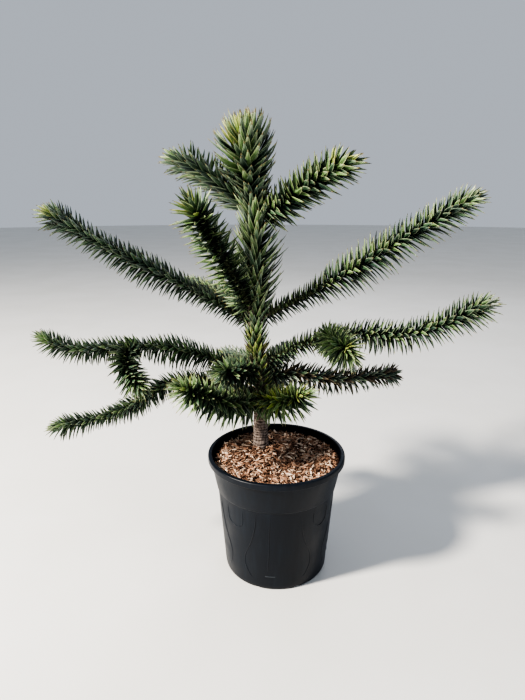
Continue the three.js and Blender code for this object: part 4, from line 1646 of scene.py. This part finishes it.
@dataclass
class NurseryPot:
    """The tapered tub, with a plain band below its rolled lip, as the solids have it.

    Attributes:
        height, rim_radius, lip_height, lip_overhang, wall, band_bottom, band_radius, band_step,
            base_radius, floor: The sizes of its outline.
        base_draft: How far the underside's edge lies inside the base radius.
        hub: The radius of the outline's ends, which fans close.
        base_corner, band_round, ledge_round, lip_round, mouth_round, inner_round: How far off its
            corner a rounding starts: at the base, the band, under the lip, on the lip, inside the
            lip and on the inner wall.
        outline_pitch: The longest run between two points of the outline.
        notches, notch_width, notch_depth, notch_height: The drain notches under its edge.
        notch_edge, notch_slope: The width of a notch's inner side, and half that of its flanks in
            radians.
        columns: Points round a ring.
        rib_width, rib_height: The moulded lines on its wall.
        rib_steps, rib_columns: A line's rings for each of its guide points, and points a ring.
        rib_sink: How deep a line's middle lies in the wall.
        rib_taper, rib_end: A line grows to its full size over one part in rib_taper of its
            length, from this share of it.
        rib_gap, seam_gap: How far below the band the lines start, and the seam below them.
        panels: How many times the moulded pattern repeats round it.
        panel_turn: The compass angle of the middle of the front panel, in degrees.
        panel_turns, tab_turns, seam_turns, bar_turns: Guide points of the panel's edge, the tab,
            the seam and the bar, in degrees off the middle of the panel or of the tab.
        panel_heights, tab_heights, seam_heights, bar_heights: Their heights, where a line hangs
            from the band without its top.
    """

    height: float = 242
    rim_radius: float = 134
    lip_height: float = 12
    lip_overhang: float = 5.8
    wall: float = 2.2
    band_bottom: float = 176
    band_radius: float = 117.5
    band_step: float = 2
    base_radius: float = 102.5
    floor: float = 4.5
    base_draft: float = 0.4
    hub: float = 0.5
    base_corner: float = 9
    band_round: float = 0.8
    ledge_round: float = 1.6
    lip_round: float = 3.4
    mouth_round: float = 1.8
    inner_round: float = 6
    outline_pitch: float = 5
    notches: int = 8
    notch_width: float = 11
    notch_depth: float = 8
    notch_height: float = 3
    notch_edge: float = 0.1
    notch_slope: float = 0.006
    columns: int = 240
    rib_width: float = 2.4
    rib_height: float = 0.9
    rib_steps: int = 12
    rib_columns: int = 8
    rib_sink: float = 0.1
    rib_taper: float = 8
    rib_end: float = 0.02
    rib_gap: float = 1
    seam_gap: float = 2
    panels: int = 4
    panel_turn: float = -89
    panel_turns: tuple = (21, 22.5, 27, 34, 35.5, 31, 24)
    panel_heights: tuple = (140, 105, 74, 52, 30, 17)
    tab_turns: tuple = (-9.5, -9.5, -7.5, 0, 7.5, 9.5, 9.5)
    tab_heights: tuple = (146, 134, 127, 134, 146)
    seam_turns: tuple = (-8, -9, -10.5)
    seam_heights: tuple = (100, 36)
    bar_turns: tuple = (-14, -8, -2)
    bar_heights: tuple = (31, 31, 31)

    def outline(self) -> list[tuple[float, float, float]]:
        """The outline's corners, from the underside's middle up the outside, over the lip and down
        the inside to the floor.

        Returns:
            The radius, height and rounding of each corner.
        """
        wall_top = self.rim_radius - self.lip_overhang
        lip_bottom = self.height - self.lip_height
        inner = wall_top - self.wall
        notch = self.base_radius - self.notch_depth
        below_band = self.band_radius - self.band_step
        return [
            (self.hub, 0, 0),
            (notch - self.notch_edge, 0, 0),
            (notch, 0, 0),
            (self.base_radius - self.base_draft, 0, self.base_corner),
            (below_band, self.band_bottom - self.band_step, self.band_round),
            (self.band_radius, self.band_bottom, self.band_round),
            (wall_top, lip_bottom, self.band_round),
            (self.rim_radius, lip_bottom, self.ledge_round),
            (self.rim_radius, self.height, self.lip_round),
            (inner, self.height, self.mouth_round),
            (inner, lip_bottom, self.inner_round),
            (self.band_radius - self.wall - self.band_step, self.band_bottom, self.inner_round),
            (self.base_radius - self.wall, self.floor, self.base_corner),
            (self.hub, self.floor, 0),
        ]

    @staticmethod
    def rounded(corners: Sequence[tuple[float, float, float]], pitch: float) -> Array:
        """An outline with its corners rounded and its long runs divided.

        A corner C between A and B is the curve (1-s)^2 A' + 2 s (1-s) C + s^2 B', where A' and B'
        are the rounding's distance off C.

        Args:
            corners: Radius, height and rounding of each corner.
            pitch: The longest run between two points.

        Returns:
            Radius and height of each point.
        """
        spots = np.array([c[:2] for c in corners], float)
        share = np.linspace(0, 1, ROUND_POINTS)[:, None]
        points = [spots[:1]]
        for before, here, after, (_, _, reach) in zip(spots, spots[1:], spots[2:], corners[1:]):
            ends = []
            for other in (before, after):
                gap = np.linalg.norm(other - here)
                ends.append(here + (other - here) * min(reach, gap * ROUND_LIMIT) / gap)
            curve = ((1 - share) ** 2 * ends[0] + 2 * share * (1 - share) * here
                     + share ** 2 * ends[1])
            points.append(curve if reach else here[None])
        line = np.vstack([*points, spots[-1:]])
        travelled = np.concatenate([[0], np.cumsum(np.linalg.norm(np.diff(line, axis=0), axis=1))])
        gaps = np.diff(travelled)
        extra = [np.linspace(travelled[i], travelled[i + 1], int(gap / pitch) + 2)[1:-1]
                 for i, gap in enumerate(gaps) if gap > pitch]
        stops = np.sort(np.concatenate([travelled, *extra]))
        return np.stack([np.interp(stops, travelled, line[:, k]) for k in (0, 1)], axis=-1)

    def shell(self) -> Surface:
        """The outline turned about +Z, its lower edge lifted at the drain notches.

        Returns:
            The pot without its moulded lines.
        """
        outline = self.rounded(self.outline(), self.outline_pitch)
        half = self.notch_width / 2 / self.base_radius
        middles = (np.arange(self.notches) + 0.5) * 2 * math.pi / self.notches
        edges = np.concatenate([middles + side * (half + off) for side in (-1, 1)
                                for off in (-self.notch_slope, self.notch_slope)])
        turn = np.unique(np.round(np.concatenate([even_turn(self.columns), edges]), 5))
        off_middle = np.abs((turn[:, None] - middles + math.pi) % (2 * math.pi) - math.pi).min(1)
        in_notch = off_middle < half
        radius, height = outline[:, 0, None], outline[:, 1, None]
        outside = radius > self.base_radius - self.notch_depth - self.notch_edge / 2
        under = outside & (height < self.notch_height)
        lifted = np.where(under & in_notch, self.notch_height, height)
        rings = np.stack([radius * np.cos(turn), radius * np.sin(turn), lifted], axis=-1)
        ends = [np.array([[0.0, 0.0, z]]) for z in (0.0, self.floor)]
        return Surface.tubes(rings[None], *ends)

    def wall_radius(self, height: Array) -> Array:
        """The outside radius of the wall at some heights."""
        return np.interp(height, [self.base_corner, self.band_bottom - self.band_step],
                         [self.base_radius, self.band_radius - self.band_step])

    def rib(self, turns: Sequence[float], heights: Sequence[float], shift: float) -> Surface:
        """A moulded line on the wall: a half-round section carried over a smooth path.

        The path is a cubic between two guide points, whose slope at each is half the step from the
        point before to the point after.

        Args:
            turns: Compass angles of the path's guide points, in degrees off the panel's middle.
            heights: Their heights.
            shift: The compass angle of the panel's middle, in degrees.

        Returns:
            The line, whose inner half lies in the wall.
        """
        guide = np.stack([np.asarray(turns, float), np.asarray(heights, float)], axis=-1)
        padded = np.vstack([2 * guide[0] - guide[1], guide, 2 * guide[-1] - guide[-2]])
        place = np.linspace(0, len(guide) - 1, self.rib_steps * len(guide))
        low = np.minimum(place.astype(int), len(guide) - 2)
        s = (place - low)[:, None]
        a, b, c, d = (padded[low + k] for k in range(4))
        path = 0.5 * (2 * b + (c - a) * s + (2 * a - 5 * b + 4 * c - d) * s ** 2
                      + (3 * b - a - 3 * c + d) * s ** 3)
        turn, height = np.radians(path[:, 0] + shift), path[:, 1]
        outward = np.stack([np.cos(turn), np.sin(turn), np.zeros_like(turn)], axis=-1)
        middle = outward * (self.wall_radius(height) - self.rib_sink)[:, None]
        middle[:, 2] = height
        way = unit(np.gradient(middle, axis=0))
        side = unit(np.cross(outward, way))
        angle = even_turn(self.rib_columns)[:, None]
        grown = np.minimum(1, np.linspace(0, self.rib_taper, len(turn)))
        taper = np.minimum(grown, grown[::-1])[:, None, None] + self.rib_end
        section = (side[:, None] * np.cos(angle) * self.rib_width / 2
                   + np.cross(way, side)[:, None] * np.sin(angle) * self.rib_height)
        rings = middle[:, None] + section * taper
        return Surface.tubes(rings[None], middle[:1], middle[-1:])

    def ribs(self) -> Surface:
        """The moulded pattern: a tulip-shaped panel with a seam and a short bar in the second
        finish, and between two panels a tab that hangs below the band.

        Returns:
            All the moulded lines.
        """
        top = self.band_bottom - self.band_step - self.rib_gap
        edge = np.array(self.panel_turns)
        edge_heights = (top, *self.panel_heights)
        seam_heights = (top - self.seam_gap, *self.seam_heights)
        tab = 180 / self.panels + np.array(self.tab_turns)
        parts = []
        for shift in self.panel_turn + np.arange(self.panels) * 360 / self.panels:
            parts.append(self.rib(edge, edge_heights, shift))
            parts.append(self.rib(-edge, edge_heights, shift))
            parts.append(self.rib(self.seam_turns, seam_heights, shift))
            bar = self.rib(self.bar_turns, self.bar_heights, shift)
            bar.quad_coat[:] = 1
            bar.triangle_coat[:] = 1
            parts.append(bar)
            parts.append(self.rib(tab, (top, *self.tab_heights, top), shift))
        return Surface.join(parts)

    def build(self) -> None:
        """Adds the pot and its moulded lines."""
        finish = PotFinish("moulded polypropylene, dusty", 0.4, 0.28).material()
        add_piece("pot_shell", self.shell(), [finish], ["pot"], crease=35)
        scuffed = PotFinish("scuffed polypropylene", 0.5, plastic="#262d34", dust="#5b6165")
        add_piece("pot_moulded_lines", self.ribs(), [finish, scuffed.material()], [],
                  crease=80)


@dataclass
class PottingMix:
    """The pot's filling, which hardly shows: the solid itself in a finish of its own."""

    def build(self) -> None:
        """Gives the solid its finish."""
        soil = SoilFinish("peat potting mix", 0.95, 0.2).material()
        for place in frame["nodes"]["potting_mix"].material_slots:
            place.material = soil
        log.info("potting_mix: the solid itself")


@dataclass
class BarkMulch:
    """The loose bark on top of the potting mix: a crumbled bed under shredded chips.

    Attributes:
        bottom: Where the bed starts, on the potting mix.
        edge_height: Its height at the pot's wall.
        heap, heap_reach: How high and how wide it is heaped at the trunk.
        reach: Its outside radius.
        lump, lump_waves: The height of its lumps, and their waves in radians a millimetre.
        crumbs: The height and the lattice of its coarse and of its fine crumbs.
        columns, rows: Points round a ring, and rings of its top.
        hub: The radius of its innermost rings.
        draft: How much narrower its underside is.
        kinds: Name, count, dark and light colour of each kind of chip.
        length, length_spread, lengths: The chips' middle length, the spread of its logarithm, and
            the shortest and the longest.
        width_shares, widths: The range of width for length, and the narrowest and the widest.
        thick_shares: The range of thickness for width.
        lying: The range of heights over the bed's top at which a chip's middle lies.
        tilt, roll: How far chips tilt and roll, as a spread in radians.
        sections, section_sizes: Where a chip's sections stand off its middle, as shares of its
            length, and their size.
        corners: Corners of a section.
        stray, corner_stray: How far a corner strays along the chip, as a share of its length, and
            round it, in radians.
        corner_sizes: The range of a corner's size.
        bow: How far the middle section stands out, as a spread in shares of the length.
        wall_gap, trunk_gap, trunk_share: How far a chip stays inside the bed's edge and off the
            trunk's middle, and by what share of its length more.
    """

    bottom: float = 214.3
    edge_height: float = 227
    heap: float = 10
    heap_reach: float = 90
    reach: float = 124.4
    lump: float = 1.6
    lump_waves: tuple = (0.21, 0.19)
    crumbs: tuple = ((1.5, 8.0), (1.0, 3.4))
    columns: int = 180
    rows: int = 66
    hub: float = 1.0
    draft: float = 0.6
    kinds: tuple = (
        ("bark_chips_dark", 1300, "#291a12", "#634736"),
        ("bark_chips_red", 2200, "#553829", "#b88f74"),
        ("bark_chips_tan", 1200, "#9f7f66", "#efd8c2"),
    )
    length: float = 8.6
    length_spread: float = 0.42
    lengths: tuple = (3.5, 21)
    width_shares: tuple = (0.16, 0.42)
    widths: tuple = (1.3, 5)
    thick_shares: tuple = (0.25, 0.5)
    lying: tuple = (-0.5, 3.6)
    tilt: float = 0.3
    roll: float = 0.5
    sections: tuple = (-0.42, 0.0, 0.42)
    section_sizes: tuple = (0.7, 1.0, 0.62)
    corners: int = 5
    stray: float = 0.07
    corner_stray: float = 0.4
    corner_sizes: tuple = (0.7, 1.15)
    bow: float = 0.06
    wall_gap: float = 1
    trunk_gap: float = 16
    trunk_share: float = 0.2

    def top(self, x: Array, y: Array, trunk: Trunk) -> Array:
        """The bed's height: level at the wall, heaped by a smoothstep towards the trunk, with
        lumps sin(a x + 1) cos(b y).

        Args:
            x: Places along +X.
            y: Places along +Y.
            trunk: The trunk that it is heaped round.

        Returns:
            The height at each place.
        """
        foot = trunk.middle(np.array([trunk.heights[0]]))[0]
        near = 1 - np.hypot(x - foot[0], y - foot[1]) / self.heap_reach
        along_x, along_y = self.lump_waves
        lumps = self.lump * np.sin(along_x * x + 1) * np.cos(along_y * y)
        return self.edge_height + self.heap * smoothstep(near) + lumps

    def bed(self, trunk: Trunk) -> Surface:
        """The bed as a closed cake: its underside and side, then its lumpy top.

        Args:
            trunk: The trunk that it is heaped round.

        Returns:
            The bed.
        """
        turn = even_turn(self.columns)
        out = np.concatenate([[self.hub, self.reach - self.draft],
                              np.linspace(self.reach, self.hub, self.rows)])[:, None]
        x, y = out * np.cos(turn), out * np.sin(turn)
        places = np.stack([x, y, np.zeros_like(x)], axis=-1)
        (coarse, coarse_size), (fine, fine_size) = self.crumbs
        rough = (coarse * lattice_noise(places, coarse_size, seed=6)
                 + fine * lattice_noise(places, fine_size, seed=7))
        z = self.top(x, y, trunk) + rough
        z[:2] = self.bottom
        rings = np.stack([x, y, z], axis=-1)
        ends = [np.array([[0.0, 0.0, level]]) for level in (self.bottom, z[-1].mean())]
        return Surface.tubes(rings[None], *ends)

    def chips(self, count: int, trunk: Trunk, rng: np.random.Generator) -> Surface:
        """Chips strewn over the bed: an uneven section carried over three places.

        A corner at the angle a lies size cos a half widths across its chip and size sin a half
        thicknesses above it.

        Args:
            count: How many chips to strew.
            trunk: The trunk, which they lie round.
            rng: This kind's random numbers.

        Returns:
            A closed shell for each chip.
        """
        length = rng.lognormal(math.log(self.length), self.length_spread, count)
        length = np.clip(length, *self.lengths)
        width = np.clip(length * rng.uniform(*self.width_shares, count), *self.widths)
        thick = width * rng.uniform(*self.thick_shares, count)
        out = (self.reach - self.wall_gap - length / 2) * np.sqrt(rng.uniform(0, 1, count))
        turn = rng.uniform(0, 2 * math.pi, count)
        x, y = out * np.cos(turn), out * np.sin(turn)
        z = self.top(x, y, trunk) + rng.uniform(*self.lying, count)
        heading = rng.uniform(0, 2 * math.pi, count)
        way = direction(heading, rng.normal(0, self.tilt, count))
        level = unit(np.cross(WORLD_UP, way))
        above = np.cross(way, level)
        roll = rng.normal(0, self.roll, count)[:, None]
        side = (level * np.cos(roll) + above * np.sin(roll))[:, None, None]
        up = (above * np.cos(roll) - level * np.sin(roll))[:, None, None]
        stray = rng.uniform(-self.corner_stray, self.corner_stray, (count, 1, self.corners))
        angle = even_turn(self.corners) + stray
        shape = (count, len(self.sections), self.corners)
        size = np.array(self.section_sizes)[:, None] * rng.uniform(*self.corner_sizes, shape)
        place = np.array(self.sections)[:, None] + rng.uniform(-self.stray, self.stray, shape)
        bow = np.array([[0.0], [1.0], [0.0]]) * rng.normal(0, self.bow, (count, 1, 1))
        long, wide, high = (sizes[:, None, None] for sizes in (length, width, thick))
        spread = [
            (place * long)[..., None] * way[:, None, None],
            (np.cos(angle) * size * wide / 2)[..., None] * side,
            (np.sin(angle) * size * high / 2 + bow * long)[..., None] * up,
        ]
        middle = np.stack([x, y, z], axis=-1)
        rings = middle[:, None, None] + sum(spread)
        off_trunk = np.hypot(x - trunk.middles_x[0], y - trunk.middles_y[0])
        clear = off_trunk > self.trunk_gap + length * self.trunk_share
        foot, tip = (middle + way * (length * half)[:, None] for half in (-0.5, 0.5))
        traits = np.broadcast_to(rng.uniform(0, 1, (count, 1, 1, 1)), rings.shape)
        return Surface.tubes(rings[clear], foot[clear], tip[clear], traits[clear])

    def build(self, trunk: Trunk) -> None:
        """Adds the bed and the chips, one piece for each kind.

        Args:
            trunk: The trunk that they lie round.
        """
        bed = ChipFinish("crumbled bark", 0.95, 0.2, dark="#24150e", light="#5d3a29").material()
        add_piece("bark_bed", self.bed(trunk), [bed], ["bark_mulch"], crease=80)
        for number, (name, count, dark, light) in enumerate(self.kinds):
            finish = ChipFinish(f"shredded bark {number}", 0.85, 0.3, dark=dark, light=light)
            surface = self.chips(count, trunk, np.random.default_rng(CHIP_SEED + number))
            add_piece(name, surface, [finish.material()], ["bark_mulch"], crease=30)


@dataclass(frozen=True)
class Lamp:
    """A round soft lamp.

    Attributes:
        name: The lamp's name.
        place: Where it hangs, in metres.
        size: Its width in metres.
        power: Its power in watts.
        colour: Its colour in hex.
    """

    name: str
    place: tuple
    size: float
    power: float
    colour: str

    def hang(self, aim: Vector) -> None:
        """Adds the lamp.

        Args:
            aim: What it looks at, in metres.
        """
        light = bpy.data.lights.new(self.name, "AREA")
        light.shape = "DISK"
        light.size = self.size
        light.energy = self.power
        light.color = linear(self.colour)[:3]
        lamp = bpy.data.objects.new(self.name, light)
        lamp.location = self.place
        lamp.rotation_euler = (aim - Vector(self.place)).to_track_quat("-Z", "Y").to_euler()
        bpy.context.scene.collection.objects.link(lamp)


@dataclass
class Studio:
    """The pale floor, the soft lights and the camera at the photograph's place.

    Attributes:
        eye: The camera's place in millimetres.
        pitch: How far it looks down, in degrees.
        lens: Its focal length on a 36 mm sensor.
        floor_radius, floor_depth, floor_columns: The floor disc's radius and thickness, and the
            points round it.
        aim: What the lamps look at, in metres: the plant's middle.
        lamps: The key, the fill and the back lamp.
        ambient, ambient_strength: The colour and the strength of the light from all round.
    """

    eye: tuple = (-27.2, -954.2, 721.5)
    pitch: float = 16.0
    lens: float = 27.41
    floor_radius: float = 14000
    floor_depth: float = 20
    floor_columns: int = 96
    aim: tuple = (0.0, 0.0, 0.42)
    lamps: tuple = (
        Lamp("key_lamp", SUN_PLACE, 0.5, 400, "#fff7ec"),
        Lamp("fill_lamp", (2.4, -2.2, 1.6), 1.8, 20, "#e6eefc"),
        Lamp("back_lamp", (0.8, 2.6, 2.4), 1.6, 18, "#f4f6ff"),
    )
    ambient: str = "#dfe7f2"
    ambient_strength: float = 0.52

    def floor(self) -> None:
        """Adds the floor, a thin disc whose top is level with the pot's underside."""
        turn = even_turn(self.floor_columns)
        levels = (-self.floor_depth, 0)
        rings = [[self.floor_radius * np.cos(turn), self.floor_radius * np.sin(turn),
                  np.full_like(turn, level)] for level in levels]
        ends = [np.array([[0.0, 0.0, level]]) for level in levels]
        mesh = Surface.tubes(np.moveaxis(np.array(rings), 1, -1)[None], *ends).mesh("floor")
        mesh.materials.append(FloorFinish("painted plaster", 0.8).material())
        disc = bpy.data.objects.new("floor", mesh)
        bpy.context.scene.collection.objects.link(disc)

    def build(self) -> None:
        """Adds the floor, the lights, the world and the camera."""
        self.floor()
        for lamp in self.lamps:
            lamp.hang(Vector(self.aim))
        world = bpy.data.worlds.new("studio")
        world.use_nodes = True
        world.node_tree.nodes.clear()
        glow = add_node(world.node_tree, "ShaderNodeBackground", {
            "Color": linear(self.ambient), "Strength": self.ambient_strength})
        add_node(world.node_tree, "ShaderNodeOutputWorld", {"Surface": glow})
        scene = bpy.context.scene
        scene.world = world
        scene.view_settings.view_transform = "AgX"
        scene.view_settings.look = "AgX - High Contrast"
        lens = bpy.data.cameras.new("camera")
        lens.lens = self.lens
        camera = bpy.data.objects.new("camera", lens)
        camera.location = Vector(self.eye) * MM
        camera.rotation_euler = (math.radians(90 - self.pitch), 0, 0)
        scene.collection.objects.link(camera)
        scene.camera = camera


def main() -> None:
    """Builds the plant, its pot and the studio."""
    logging.basicConfig(level=logging.INFO, format="%(name)s: %(message)s")
    trunk, boughs = Trunk(), Boughs()
    limbs = {limb.name: limb for limb in LIMBS}
    for limb in LIMBS:
        limb.grow(trunk, limbs)
    NurseryPot().build()
    PottingMix().build()
    BarkMulch().build(trunk)
    bark = BarkFinish("corky young bark", 0.88, 0.3).material()
    trunk.build(bark)
    boughs.build(LIMBS, bark)
    Foliage().build(LIMBS, trunk, boughs)
    Studio().build()


if __name__ == "__main__":
    main()
